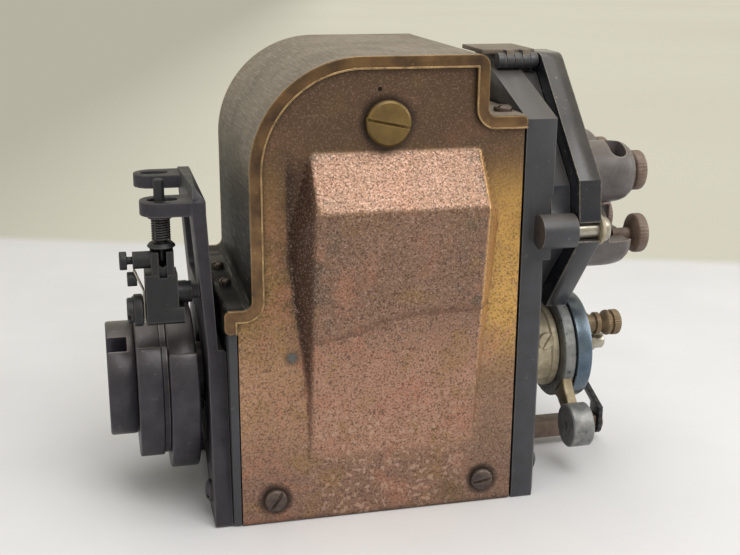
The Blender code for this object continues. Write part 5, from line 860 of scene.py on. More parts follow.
def hood_line(inset, end=0.0):
    """The hood's section in X and Z, moved inwards by inset, shortened by end, always with as many points."""
    wall_x = HOOD_WALL_X - inset
    fillet = HOOD_FILLET + inset
    corner = max(HOOD_CORNER - inset, 0.3)
    bend = max(HOOD_BEND - inset, 0.15)
    points = [(HOOD_TIP_X + inset, HOOD_TIP_Z + end)]
    points += arc(HOOD_TIP_X + inset + bend, LEFT_FOOT_Z - inset - bend, bend, 180, 90, 6)
    points += arc(HOOD_LEG_X - HOOD_FILLET, LEFT_FOOT_Z + HOOD_FILLET, fillet, 270, 360, 8)
    points += arc(HOOD_LEG_X + HOOD_ARC_RADIUS, HOOD_TOP_Z - HOOD_ARC_RADIUS, HOOD_ARC_RADIUS - inset,
                  180, 90, 40)
    points += arc(wall_x - corner, HOOD_TOP_Z - inset - corner, corner, 90, 0, 8)
    points += arc(HOOD_WALL_X + HOOD_FILLET, RIGHT_FOOT_Z + HOOD_FILLET, fillet, 180, 270, 8)
    points.append((RIGHT_FOOT_X - end, RIGHT_FOOT_Z - inset))
    return points


def lip_band(outer, inner):
    """Closed outline of a band along the hood's edge between two insets, round at both ends."""
    end = (inner - outer) / 2
    middle = (inner + outer) / 2
    right_end = arc(RIGHT_FOOT_X - end, RIGHT_FOOT_Z - middle, end, 90, -90, 8)
    left_end = arc(HOOD_TIP_X + middle, HOOD_TIP_Z + end, end, 0, -180, 8)
    return (hood_line(outer, end)[:-1] + right_end + hood_line(inner, end)[::-1][1:-1] + left_end[:-1])


def unrolled(sheet):
    """Map the hood's sheet by its length round the arch and its depth."""
    arch_x = HOOD_LEG_X + HOOD_ARC_RADIUS
    arch_z = HOOD_TOP_Z - HOOD_ARC_RADIUS
    layer = sheet.data.uv_layers.new(name="unrolled")
    for loop in sheet.data.loops:
        point = sheet.data.vertices[loop.vertex_index].co / MM
        if point.z < arch_z and point.x < arch_x:
            length = point.z - arch_z
        elif point.x < arch_x:
            length = HOOD_ARC_RADIUS * math.atan2(point.z - arch_z, arch_x - point.x)
        else:
            length = HOOD_ARC_RADIUS * math.pi / 2 + (point.x - arch_x) + (HOOD_TOP_Z - point.z)
        layer.data[loop.index].uv = (length * MM, point.y * MM)


def hood():
    low, high = box_mm("magnet_hood")
    front = low.y + BEAD_HEIGHT
    rear = high.y - BEAD_HEIGHT
    behind = LIP_THICKNESS * 0.5
    section = hood_line(LIP_PROUD) + hood_line(HOOD_SHEET)[::-1]
    sheet = outlined("hood_sheet", [(x, front + behind, z) for x, z in section],
                     (0, rear - front - 2 * behind, 0))
    unrolled(sheet)
    stands_for(sheet, "magnet_hood")
    band = lip_band(0.0, LIP_WIDTH)
    bead = lip_band(LIP_WIDTH - BEAD_WIDTH, LIP_WIDTH + BEAD_PROUD)
    rooted = BEAD_HEIGHT + LIP_ROUND
    for side, band_y, bead_y in (("front", front, low.y), ("rear", rear - LIP_THICKNESS, high.y - rooted)):
        edging = outlined(f"{side}_edging", [(x, band_y, z) for x, z in band], (0, LIP_THICKNESS, 0))
        goes_with(bevelled(edging, LIP_ROUND, 4), "magnet_hood", EDGING)
        # the bead's pale finish is a painted highlight along the edging's inner edge
        roll = outlined(f"{side}_bead", [(x, bead_y, z) for x, z in bead], (0, rooted, 0))
        goes_with(bevelled(roll, 0.15, 2), "magnet_hood", BEAD)
    for x, y, z, radius in FOOT_SCREWS:
        head = domed_head("hood_foot_screw", (x, y, z), "Z", 1, radius, FOOT_SCREW_HEIGHT, FOOT_SCREW_TURN)
        goes_with(head, "magnet_hood", FINISH["dark_steel"])


# Front cover with its pressed bulge

def soft_min(a, b, blend):
    return min(a, b) - max(blend - abs(a - b), 0.0) ** 2 / (4 * blend)


def plane_height(first, second, third):
    """Height over (x, z) of the plane through three points (x, z, height)."""
    a, b, c = (Vector(p) for p in (first, second, third))
    normal = (b - a).cross(c - a)
    return lambda x, z: a.z - (normal.x * (x - a.x) + normal.y * (z - a.y)) / normal.z


def bulge_planes():
    ridge = BULGE_HALF_WIDTH
    left_peak = (-ridge, BULGE_RIDGE_Z, BULGE_HEIGHT)
    right_peak = (ridge, BULGE_RIDGE_Z, BULGE_HEIGHT)
    planes = [plane_height((0.0, BULGE_TOP_Z, 0.0), right_peak, left_peak),
              plane_height((0.0, BULGE_BOTTOM_Z, 0.0), left_peak, right_peak)]
    for side, peak in ((-1, left_peak), (1, right_peak)):
        flare = (side * BULGE_FLARE, BULGE_SHOULDER_Z, 0.0)
        planes.append(plane_height(flare, peak, (side * ridge, BULGE_TOP_Z, 0.0)))
        planes.append(plane_height(flare, peak, (side * ridge, BULGE_BOTTOM_Z, 0.0)))
    return planes


def bulge_height(planes, x, z):
    """Height of the pressed sheet over the flat cover, with the press's round edges and the dried crease."""
    across = x - BULGE_CENTRE_X
    height = planes[0](across, z)
    for plane in planes[1:]:
        height = soft_min(height, plane(across, z), PRESS_RADIUS)
    raised = -soft_min(-height, 0.0, FOOT_RADIUS)
    share = min(max((x - CREASE_LOW[0]) / (CREASE_HIGH[0] - CREASE_LOW[0]), 0.0), 1.0)
    rise = share * share * (3 - 2 * share)
    off = z - CREASE_LOW[1] - (CREASE_HIGH[1] - CREASE_LOW[1]) * rise
    crease = math.exp(-(off / CREASE_HALF_WIDTH) ** 2) * CREASE_DEPTH
    return raised - (crease if raised > 2.0 else 0.0)


def inside_hood(x, z):
    """Whether a point of the cover lies under the hood's edging or inside it."""
    reach = COVER_UNDER_LIP
    if x > HOOD_WALL_X - reach:
        aside = HOOD_WALL_X + HOOD_FILLET - x
        below = RIGHT_FOOT_Z + HOOD_FILLET - z
        round_corner = aside > 0 and math.hypot(aside, below) > HOOD_FILLET + reach
        return z < RIGHT_FOOT_Z - reach or (below > 0 and round_corner)
    arc_x = HOOD_LEG_X + HOOD_ARC_RADIUS
    arc_z = HOOD_TOP_Z - HOOD_ARC_RADIUS
    if x < arc_x and z > arc_z:
        return math.hypot(x - arc_x, z - arc_z) < HOOD_ARC_RADIUS - reach
    if z > HOOD_TOP_Z - reach:
        return False
    beside = x - HOOD_LEG_X + HOOD_FILLET
    below = LEFT_FOOT_Z + HOOD_FILLET - z
    round_corner = beside > 0 and below > 0 and math.hypot(beside, below) > HOOD_FILLET + reach
    return z < LEFT_FOOT_Z - reach or x > HOOD_LEG_X + reach or round_corner


def cover():
    low, high = box_mm("front_side_plate")
    high.x -= COVER_SEAM
    width = high.x - low.x
    height = high.z - low.z
    deselect()
    bpy.ops.mesh.primitive_grid_add(x_subdivisions=round(width / COVER_CELL),
                                    y_subdivisions=round(height / COVER_CELL), size=1.0)
    sheet = bpy.context.object
    sheet.name = "cover_pressing"
    sheet.rotation_euler = (math.radians(90), 0.0, 0.0)
    sheet.scale = (width * MM, height * MM, 1.0)
    sheet.location = Vector(((low.x + high.x) / 2, PLATE_FACE_Y, (low.z + high.z) / 2)) * MM
    bpy.ops.object.transform_apply(location=True, rotation=True, scale=True)
    planes = bulge_planes()
    for vertex in sheet.data.vertices:
        x = vertex.co.x / MM
        z = vertex.co.z / MM
        vertex.co.y -= bulge_height(planes, x, z) * MM
        vertex.select = not inside_hood(x, z)
    for part in list(sheet.data.edges) + list(sheet.data.polygons):
        part.select = any(sheet.data.vertices[i].select for i in part.vertices)
    bpy.ops.object.mode_set(mode="EDIT")
    bpy.ops.mesh.delete(type="VERT")
    bpy.ops.object.mode_set(mode="OBJECT")
    thickness = sheet.modifiers.new("sheet", "SOLIDIFY")
    thickness.thickness = COVER_SHEET * MM
    thickness.offset = -1.0
    bpy.ops.object.modifier_apply(modifier=thickness.name)
    stands_for(sheet, "front_side_plate")


# Slotted screws

def head_slot(place, axis, sign, radius, height, depth, slot_deg, share=SLOT_SHARE):
    """Cutter for a slot across a head that stands on place."""
    index = "XYZ".index(axis)
    reach = radius * 1.2
    low = Vector((-reach, -reach, -reach))
    high = Vector((reach, reach, reach))
    across = (index + 2) % 3
    low[across] = -radius * share
    high[across] = radius * share
    low[index], high[index] = sorted((sign * (height - depth), sign * (height + 1.0)))
    return bar_cutter(low, high, place, axis, slot_deg)


def domed_head(name, place, axis, sign, radius, height, slot_deg):
    """A round slotted head standing on place."""
    along = place["XYZ".index(axis)]
    rim = height * 0.4
    profile = [(0.0, along), (radius, along), (radius, along + sign * rim)]
    for i in range(1, 9):
        turn = math.radians(90 * i / 8)
        width = radius * math.cos(turn) ** 0.62 if i < 8 else 0.0
        profile.append((width, along + sign * (rim + (height - rim) * math.sin(turn))))
    head = spun(name, profile, place, axis, HEAD_STEPS)
    return without(head, head_slot(place, axis, sign, radius, height, height * 0.5, slot_deg))


def flat_head(name, place, axis, sign, radius, height, slot_deg, share=SLOT_SHARE):
    """A flat slotted head with a bright chamfer, standing on place."""
    along = place["XYZ".index(axis)]
    chamfer = radius * 0.1
    profile = [(0.0, along), (radius * 0.98, along), (radius, along + sign * height * 0.3),
               (radius, along + sign * (height - chamfer)), (radius - chamfer, along + sign * height),
               (0.0, along + sign * height)]
    head = spun(name, profile, place, axis, HEAD_STEPS * 2)
    return without(head, head_slot(place, axis, sign, radius, height, height * 0.6, slot_deg, share))


def cover_screws():
    for node, slot_deg in (("left_plate_screw", 35.0), ("right_plate_screw", 80.0)):
        low, high = box_mm(node)
        place = ((low.x + high.x) / 2, PLATE_FACE_Y, (low.z + high.z) / 2)
        head = domed_head(f"{node}_head", place, "Y", -1, (high.x - low.x) / 2, PLATE_SCREW_HEIGHT, slot_deg)
        stands_for(bevelled(head, 0.12, 2), node)
    low, high = box_mm("front_tie_screw")
    place = ((low.x + high.x) / 2, PLATE_FACE_Y, (low.z + high.z) / 2)
    tie = flat_head("tie_screw_head", place, "Y", -1, (high.x - low.x) / 2, TIE_SCREW_HEIGHT, TIE_SLOT_TURN,
                    TIE_SLOT_SHARE)
    stands_for(bevelled(tie, 0.15, 2), "front_tie_screw", SCREW_BRASS)


# Impulse coupling: turned discs whose rims are cut back

def notched(name, radius, notch_radius, notch_to, low_x, high_x):
    outline = arc(0.0, SHAFT_Z, radius, notch_to, NOTCH_FROM + 360, 90)
    outline += arc(0.0, SHAFT_Z, notch_radius, NOTCH_FROM, notch_to, 24)
    return outlined(name, [(low_x, y, z) for y, z in outline], (high_x - low_x, 0, 0))


def ratchet_and_cup():
    low, high = box_mm("ratchet_hub")
    disc_end = low.x + RATCHET_DISC
    ratchet = notched("ratchet_disc", (high.y - low.y) / 2, RATCHET_NOTCH_RADIUS, RATCHET_NOTCH_TO, low.x,
                      disc_end)
    without(bevelled(ratchet, 0.8), bore_cutter(SHAFT_BORE, SHAFT, "X", low.x - 1, disc_end + 1))
    stands_for(ratchet, "ratchet_hub")
    rooted = disc_end - 0.5
    tube = [(SHAFT_BORE, rooted), (SLEEVE_RADIUS, rooted), (SLEEVE_RADIUS, high.x), (SHAFT_BORE, high.x),
            (SHAFT_BORE, rooted)]
    goes_with(spun("ratchet_sleeve", tube, SHAFT, "X", 48), "ratchet_hub")
    low, high = box_mm("impulse_cup")
    step_x = high.x - CUP_STEP
    cup = notched("impulse_cup_body", (high.y - low.y) / 2, CUP_NOTCH_RADIUS, CUP_NOTCH_TO, low.x, step_x)
    without(bevelled(cup, 0.7), bore_cutter(SHAFT_BORE, SHAFT, "X", low.x - 1, step_x + 1),
            bore_cutter(CUP_BORE, SHAFT, "X", low.x + CUP_FLOOR, step_x + 1, 64))
    stands_for(cup, "impulse_cup")
    step = notched("impulse_cup_step", CUP_STEP_RADIUS, CUP_NOTCH_RADIUS, CUP_NOTCH_TO, step_x - 0.3, high.x)
    goes_with(without(step, bore_cutter(CUP_BORE, SHAFT, "X", step_x - 1, high.x + 1, 64)), "impulse_cup")


def slotted_coupling():
    low, high = box_mm("slotted_coupling")
    radius = (high.y - low.y) / 2
    edge = COUPLING_EDGE
    profile = [(0.0, low.x), (radius - edge, low.x)]
    for turn in (math.radians(30), math.radians(60), math.radians(90)):
        profile.append((radius - edge + edge * math.sin(turn), low.x + edge - edge * math.cos(turn)))
    profile += [(radius, high.x - edge), (radius - 0.4, high.x), (0.0, high.x)]
    coupling = spun("tongue_coupling", profile, SHAFT, "X", 96)
    reach = radius + 2
    floor_x = low.x + TONGUE_SLOT_DEPTH
    slot = bar_cutter((low.x - 1, -reach, -TONGUE_SLOT / 2), (floor_x, reach, TONGUE_SLOT / 2), SHAFT, "X",
                      TONGUE_SLOT_TURN)
    without(coupling, slot, bore_cutter(SHAFT_BORE, SHAFT, "X", floor_x - 0.5, high.x + 1))
    stands_for(bevelled(coupling, 0.25, 2), "slotted_coupling")


# Plunger and its spring

def plunger():
    low, high = box_mm("plunger")
    centre = (low + high) / 2
    base = low.z + TAIL_LENGTH
    flange = (high.x - low.x) / 2
    profile = [(0.0, high.z), (ROD_RADIUS - 0.6, high.z), (ROD_RADIUS - 0.15, high.z - 0.25),
               (ROD_RADIUS, high.z - 0.7), (ROD_RADIUS, base + 2.4), (ROD_RADIUS + 0.5, base + 1.8),
               (flange - 1.0, base + 1.7), (flange - 0.2, base + 0.9), (flange, base + 0.4),
               (flange - 0.4, base), (TAIL_RADIUS, base), (TAIL_RADIUS, low.z + 0.4),
               (TAIL_RADIUS - 0.3, low.z), (0.0, low.z)]
    stands_for(spun("plunger_pin", profile, centre, "Z", 40), "plunger", TRIP_IRON)


def plunger_spring():
    low, high = box_mm("plunger_spring")
    centre = (low + high) / 2
    wire = SPRING_WIRE
    radius = (high.x - low.x) / 2 - wire / 2
    deselect()
    bpy.ops.mesh.primitive_circle_add(vertices=10, radius=wire / 2 * MM,
                                      rotation=(math.radians(90), 0.0, 0.0))
    coil = bpy.context.object
    coil.name = "plunger_spring_wound"
    bpy.ops.object.transform_apply(location=True, rotation=True, scale=True)
    coil.data.transform(Matrix.Translation(Vector((radius, 0.0, low.z + wire / 2)) * MM))
    winding = coil.modifiers.new("winding", "SCREW")
    winding.angle = math.tau
    winding.screw_offset = (high.z - low.z - wire) / SPRING_COILS * MM
    winding.iterations = SPRING_COILS
    winding.steps = 32
    winding.render_steps = 32
    bpy.ops.object.modifier_apply(modifier=winding.name)
    coil.data.transform(Matrix.Translation(Vector((centre.x, centre.y, 0.0)) * MM))
    bpy.ops.object.mode_set(mode="EDIT")
    bpy.ops.mesh.select_all(action="SELECT")
    bpy.ops.mesh.remove_doubles(threshold=WELD / 4)
    bpy.ops.mesh.select_all(action="DESELECT")
    bpy.ops.mesh.select_non_manifold()
    bpy.ops.mesh.fill()
    bpy.ops.mesh.select_all(action="SELECT")
    bpy.ops.mesh.normals_make_consistent(inside=False)
    bpy.ops.object.mode_set(mode="OBJECT")
    stands_for(coil, "plunger_spring", TRIP_IRON)
    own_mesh(coil)


# Screws of the trip lever: the slotted nut on its pin and the screw that holds the leaf spring

def lever_screws():
    low, high = box_mm("lever_stop_nut")
    centre = (low + high) / 2
    radius = (high.y - low.y) / 2
    step = low.x + LEVER_NUT_STEP
    neck = radius * 0.8
    profile = [(0.0, low.x), (radius * 0.72, low.x), (neck, low.x + 0.4), (neck, step - 0.3),
               (radius * 0.74, step - 0.2), (radius * 0.74, step), (radius * 0.95, step),
               (radius, step + 0.4), (radius, high.x - 0.3), (radius * 0.95, high.x), (0.0, high.x)]
    nut = spun("lever_nut", profile, centre, "X", 48)
    without(nut, head_slot((step, centre.y, centre.z), "X", -1, radius, LEVER_NUT_STEP, LEVER_NUT_SLOT,
                           LEVER_NUT_TURN))
    stands_for(nut, "lever_stop_nut", TRIP_IRON)
    low, high = box_mm("leaf_spring")
    place = (low.x + 1.2, (low.y + high.y) / 2, high.z - LEAF_SCREW_DROP)
    screw = flat_head("leaf_screw", place, "X", -1, LEAF_SCREW_RADIUS, LEAF_SCREW_HEIGHT, LEAF_SCREW_TURN)
    goes_with(bevelled(screw, 0.15, 2), "leaf_spring", TRIP_IRON)


# Terminal towers, finger nuts and studs

def lead_cutter(reach, lean_deg):
    """A round cutter for a lead, spread from upright out to +Y by an angle."""
    cutter = bore_cutter(LEAD_HOLE_RADIUS, (LEAD_HOLE_X, 0.0, 0.0), "Z", -NUT_STEM, reach)
    leaned = bore_cutter(LEAD_HOLE_RADIUS, (LEAD_HOLE_X, 0.0, 0.0), "Z", -NUT_STEM, reach)
    leaned.data.transform(Matrix.Rotation(-math.radians(lean_deg), 4, "X"))
    activate(cutter)
    leaned.select_set(True)
    bpy.ops.object.join()
    bpy.ops.object.mode_set(mode="EDIT")
    bpy.ops.mesh.select_all(action="SELECT")
    bpy.ops.mesh.convex_hull()
    bpy.ops.object.mode_set(mode="OBJECT")
    return cutter


def tower(name, open_side):
    """A round tower on the X axis: soft shoulder, dished end and a hole for its lead, cut open if asked."""
    foot = TOWER_FOOT_X - 0.6
    shoulder = TOWER_END_X - 1.0 - TOWER_STRAIGHT_X
    profile = [(0.0, foot), (TOWER_RADIUS + 0.5, foot), (TOWER_RADIUS + 0.5, TOWER_FOOT_X),
               (TOWER_RADIUS, TOWER_FOOT_X + 1.2), (TOWER_RADIUS, TOWER_STRAIGHT_X)]
    for i in range(1, 8):
        turn = math.radians(90 * i / 7)
        profile.append((TOWER_RADIUS - (TOWER_RADIUS - TOWER_RIM_RADIUS) * (1 - math.cos(turn)),
                        TOWER_STRAIGHT_X + shoulder * math.sin(turn)))
    profile += [(TOWER_RIM_RADIUS - 0.2, TOWER_END_X - 0.3), (TOWER_RIM_RADIUS - 0.6, TOWER_END_X),
                (TOWER_RIM_RADIUS - 1.2, TOWER_END_X), (TOWER_RIM_RADIUS - 1.6, TOWER_END_X - TOWER_DISH),
                (0.0, TOWER_END_X - TOWER_DISH)]
    piece = spun(name, profile, (0.0, 0.0, 0.0))
    reach = TOWER_RADIUS + 2
    without(piece, lead_cutter(reach, 0.0 if open_side else LEAD_HOLE_LEAN),
            bore_cutter(NUT_STEM + 0.3, (0.0, 0.0, 0.0), "X", LEAD_HOLE_X, TOWER_END_X + 1))
    if open_side:
        far = (TOWER_END_X + 1, reach, reach)
        without(piece, bar_cutter((LEAD_HOLE_X - LEAD_HOLE_RADIUS, 0.0, 0.0), far),
                bar_cutter((LOWER_OPEN_X, -reach, NUT_STEM), far))
    return bevelled(piece, 0.3, 2)


def towers():
    upper = tower("upper_tower", False)
    lower = tower("lower_tower", True)
    for number, (y, z) in enumerate(TOWER_PLACES, start=1):
        model = upper if z > SPINDLE_Z else lower
        goes_with(copied(model, f"terminal_tower_{number}", (0.0, y, z), y < 0), "terminal_moulding")
    bpy.data.objects.remove(upper, do_unlink=True)
    bpy.data.objects.remove(lower, do_unlink=True)


def face_plate():
    """The moulded plate that carries the towers: the CAD node's own foot, without its towers."""
    plate = node_copy("terminal_moulding", "terminal_plate")
    cut_x = (TOWER_FOOT_X - 0.05) * MM
    bpy.ops.object.mode_set(mode="EDIT")
    bpy.ops.mesh.select_all(action="SELECT")
    bpy.ops.mesh.remove_doubles(threshold=WELD)
    bpy.ops.mesh.select_all(action="SELECT")
    bpy.ops.mesh.bisect(plane_co=(cut_x, 0.0, 0.0), plane_no=(1.0, 0.0, 0.0), use_fill=True, clear_outer=True)
    bpy.ops.mesh.select_all(action="SELECT")
    bpy.ops.mesh.dissolve_limited(angle_limit=FLAT_ANGLE)
    bpy.ops.object.mode_set(mode="OBJECT")
    stands_for(bevelled(plate, 0.5, 3), "terminal_moulding")


def finger_nut(node, thickness, finish=None, grooved=False):
    """A round nut with a fluted rim, a coned neck and a plain stem, and a groove round it if asked."""
    low, high = box_mm(node)
    centre = (low + high) / 2
    radius = (high.y - low.y) / 2
    start = high.x - thickness
    profile = [(0.0, high.x - 0.3), (radius * 0.55, high.x - 0.3), (radius * 0.7, high.x),
               (radius * 0.86, high.x), (radius * 0.96, high.x - 0.4), (radius, high.x - 1.0)]
    if grooved:
        profile += [(radius, start + thickness * 0.62), (radius * 0.82, start + thickness * 0.56),
                    (radius * 0.82, start + thickness * 0.5), (radius, start + thickness * 0.44)]
    profile += [(radius, start + thickness * 0.36), (radius * 0.96, start + thickness * 0.27),
                (radius * 0.84, start + thickness * 0.2), (radius * 0.62, start + 0.1), (NUT_STEM, start),
                (NUT_STEM, low.x), (0.0, low.x)]
    nut = spun(f"{node}_fluted", profile, centre, "X", NUT_FLUTES * 4)
    for vertex in nut.data.vertices:
        off = Vector((0.0, vertex.co.y - centre.y * MM, vertex.co.z - centre.z * MM))
        if off.length > radius * 0.93 * MM:
            flute = 0.5 - 0.5 * math.cos(math.atan2(off.z, off.y) * NUT_FLUTES)
            vertex.co -= off.normalized() * flute * FLUTE_DEPTH * MM
    return stands_for(nut, node, finish)


def terminal_nuts():
    first = finger_nut("terminal_nut_1", NUT_THICKNESS)
    home = box_mm("terminal_nut_1")[1]
    for number in range(2, len(TOWER_PLACES) + 1):
        node = f"terminal_nut_{number}"
        nut = copied(first, f"{node}_fluted", box_mm(node)[1] - home)
        tip = min(vertex.co.x for vertex in nut.data.vertices)
        for vertex in nut.data.vertices:
            if vertex.co.x < tip + WELD:
                vertex.co.x = box_mm(node)[0].x * MM
        stands_for(nut, node)


def stud(node):
    """A plain stud with a cream washer and a slotted nut."""
    low, high = box_mm(node)
    y = (low.y + high.y) / 2
    z = (low.z + high.z) / 2
    seat = BLOCK_END_X + 0.3
    washer_end = seat + STUD_WASHER
    shank = [(0.0, low.x), (STUD_RADIUS - 0.3, low.x), (STUD_RADIUS, low.x + 0.3), (STUD_RADIUS, STUD_BARE_X),
             (STUD_BARE_RADIUS, STUD_BARE_X), (STUD_BARE_RADIUS, seat - 0.3), (STUD_RADIUS, seat + 0.2),
             (STUD_NUT_RADIUS, washer_end - 0.1), (STUD_NUT_RADIUS, high.x - 0.9),
             (STUD_NUT_RADIUS - 0.8, high.x - 0.1), (STUD_NUT_RADIUS - 1.6, high.x), (0.0, high.x)]
    turned = spun(f"{node}_turned", shank, (0.0, y, z), "X", 48)
    without(turned, head_slot((washer_end, y, z), "X", 1, STUD_NUT_RADIUS, high.x - washer_end, STUD_SLOT,
                              STUD_SLOT_TURN))
    stands_for(bevelled(turned, 0.12, 2), node)
    inner = STUD_RADIUS + 0.05
    ring = [(inner, seat), (STUD_WASHER_RADIUS - 0.2, seat), (STUD_WASHER_RADIUS, seat + 0.2),
            (STUD_WASHER_RADIUS, washer_end - 0.2), (STUD_WASHER_RADIUS - 0.2, washer_end),
            (inner, washer_end), (inner, seat)]
    goes_with(spun(f"{node}_washer", ring, (0.0, y, z), "X", 48), node, WASHER)


# Contact breaker

def timing_lever():
    ring = [(RING_RADIUS, RING_END_X - 0.5), (RING_RADIUS - 0.5, RING_END_X), (RING_WALL, RING_END_X),
            (RING_WALL, RING_FLOOR_X), (RING_BORE, RING_FLOOR_X), (RING_BORE, RING_X),
            (RING_RADIUS - 0.6, RING_X), (RING_RADIUS, RING_X + 0.6), (RING_RADIUS, RING_END_X - 0.5)]
    stands_for(spun("timing_ring", ring, SHAFT, "X", 96), "timing_lever")
    turn = math.radians(BOSS_TURN)
    centre = (0.0, BOSS_REACH * math.cos(turn), SHAFT_Z + BOSS_REACH * math.sin(turn))
    middle = (RING_X + RING_END_X) / 2
    left = middle - BOSS_HALF_LENGTH
    right = middle + BOSS_HALF_LENGTH
    profile = [(BOSS_HOLE, left), (BOSS_RADIUS - 0.5, left), (BOSS_RADIUS, left + 0.5),
               (BOSS_RADIUS, right - 0.5), (BOSS_RADIUS - 0.5, right), (BOSS_HOLE, right), (BOSS_HOLE, left)]
    goes_with(spun("timing_boss", profile, centre, "X", 64), "timing_lever")
    start = RING_RADIUS - 2.0
    end = BOSS_REACH - BOSS_RADIUS + 1.5
    half = ARM_HALF_WIDTH
    outline = [(start, -half - 2.2), (start + 4.0, -half), (end, -half + 0.6), (end, half - 0.6),
               (start + 4.0, half), (start, half + 2.2)]
    arm = outlined("timing_arm", [(RING_X, along, across) for along, across in outline],
                   (ARM_THICKNESS, 0, 0))
    arm.data.transform(Matrix.Translation(Vector(SHAFT) * MM) @ Matrix.Rotation(turn, 4, "X"))
    goes_with(bevelled(arm, 0.7, 3), "timing_lever", LEVER_BRONZE)


def breaker_collar():
    rim = COLLAR_RADIUS + 0.7
    collar = [(COLLAR_BORE, COLLAR_X), (COLLAR_RADIUS + 1.6, COLLAR_X), (COLLAR_RADIUS, COLLAR_X + 2.2),
              (COLLAR_RADIUS, COLLAR_END_X - 3.4), (rim, COLLAR_END_X - 2.6), (rim, COLLAR_END_X - 0.3),
              (rim - 0.3, COLLAR_END_X), (COLLAR_SPIGOT_RADIUS, COLLAR_END_X),
              (COLLAR_SPIGOT_RADIUS, COLLAR_SPIGOT_END), (COLLAR_BORE, COLLAR_SPIGOT_END),
              (COLLAR_BORE, COLLAR_X)]
    stands_for(spun("breaker_collar_turned", collar, SHAFT, "X", 96), "breaker_collar", COLLAR_BRONZE)
    screw = flat_head("collar_screw", COLLAR_SCREW, "Y", -1, COLLAR_SCREW_RADIUS, COLLAR_SCREW_HEIGHT,
                      COLLAR_SCREW_TURN)
    goes_with(bevelled(screw, 0.1, 2), "breaker_collar", COLLAR_BRONZE)


def breaker_cap():
    inside = CAP_RADIUS - CAP_WALL
    dish = CAP_END_X - 0.4
    cap = [(0.0, dish), (CAP_RADIUS * 0.42, dish), (CAP_RADIUS * 0.48, CAP_END_X),
           (CAP_RADIUS - 1.6, CAP_END_X), (CAP_RADIUS - 0.5, dish), (CAP_RADIUS, CAP_END_X - 1.4),
           (CAP_RADIUS, CAP_X + 0.3), (CAP_RADIUS - 0.3, CAP_X), (inside, CAP_X),
           (inside, CAP_END_X - CAP_WALL), (0.0, CAP_END_X - CAP_WALL)]
    stands_for(spun("breaker_cap_drawn", cap, SHAFT, "X", 96), "breaker_cap")
    low, high = box_mm("cap_button")
    radius = (high.y - low.y) / 2
    neck = radius - 0.8
    button = [(0.0, low.x), (radius, low.x), (radius, high.x - 4.6), (neck, high.x - 4.4),
              (neck, high.x - 0.8), (neck - 0.6, high.x), (0.0, high.x)]
    stands_for(spun("cap_button_turned", button, SHAFT, "X", 48), "cap_button")
    low, high = box_mm("ground_post")
    radius = (high.y - low.y) / 2
    waist = radius - 1.1
    crown = radius - 0.2
    bore = NUT_STEM + 0.3
    post = [(0.0, low.x), (radius - 0.3, low.x), (radius, low.x + 0.3), (radius, low.x + 3.4),
            (waist, low.x + 4.0), (waist, high.x - 2.6), (crown, high.x - 2.0), (crown, high.x - 0.4),
            (crown - 0.4, high.x), (bore, high.x), (bore, low.x + 1.0), (0.0, low.x + 1.0)]
    stands_for(spun("ground_post_turned", post, (low + high) / 2, "X", 48), "ground_post", GROUND_BRASS)


# Trip gear: the bracket's top edge falls towards the far prong, and a web and a back close the lever's fork
# below the plunger

def trip_gear():
    softened("trip_lever", 0.9, TRIP_IRON, 3, STEP_WELD)
    bracket = softened("trip_bracket", 1.1, BRACKET_IRON, 3, STEP_WELD)
    low, high = box_mm("trip_bracket")
    near = (-FALL_FROM_Y, high.z + 0.1)
    far = (high.y + 1.0, high.z - TOP_FALL)
    wedge = [near, far, (far[0], high.z + 2), (near[0], high.z + 2)]
    without(bracket, outlined("top_fall", [(low.x - 1, y, z) for y, z in wedge], (high.x - low.x + 2, 0, 0)))
    low, high = box_mm("plunger")
    middle = (low + high) / 2
    left = middle.x - FORK_WEB_HALF
    right = middle.x + FORK_WEB_HALF
    root_z = FORK_ROOT_Z - 0.6
    section = [(left, root_z), (right, root_z), (right, FORK_WEB_Z), (middle.x, FORK_WEB_Z - 1.4),
               (left, FORK_WEB_Z)]
    web = outlined("fork_web", [(x, middle.y - FORK_WEB_DEPTH, z) for x, z in section],
                   (0, 2 * FORK_WEB_DEPTH, 0))
    goes_with(bevelled(web, 0.2, 2), "trip_lever", TRIP_IRON)
    foot_z = FORK_WEB_Z - 2.0
    section = [(left, foot_z), (right, foot_z), (right, FORK_BACK_Z), (left, FORK_BACK_Z)]
    back = outlined("fork_back", [(x, middle.y + FORK_BACK_FROM, z) for x, z in section],
                    (0, FORK_WEB_DEPTH + 0.4 - FORK_BACK_FROM, 0))
    goes_with(bevelled(back, 0.15, 2), "trip_lever", TRIP_IRON)


# Oil well's flap: a tan leaf on black knuckles

def oil_flap():
    flap = softened("oil_lid", 0.3)
    flap.data.materials.append(FINISH["black_enamel"])
    leaf_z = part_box("oil_lid")[1].z - OIL_LEAF_DEPTH * MM
    for polygon in flap.data.polygons:
        polygon.material_index = 1 if polygon.center.z < leaf_z else 0


# CAD nodes that only need softer edges, and by how much
OWN_FINISH = {"lever_adjuster": TRIP_IRON}
SOFTENED = {
    "base_casting": 0.6, "drive_end_plate": 0.7, "distributor_end_casting": 0.6, "rear_side_plate": 0.3,
    "distributor_block": 1.8, "clip_bar": 0.4, "lever_adjuster": 0.3, "leaf_spring": 0.1, "tie_bolt": 0.4,
}

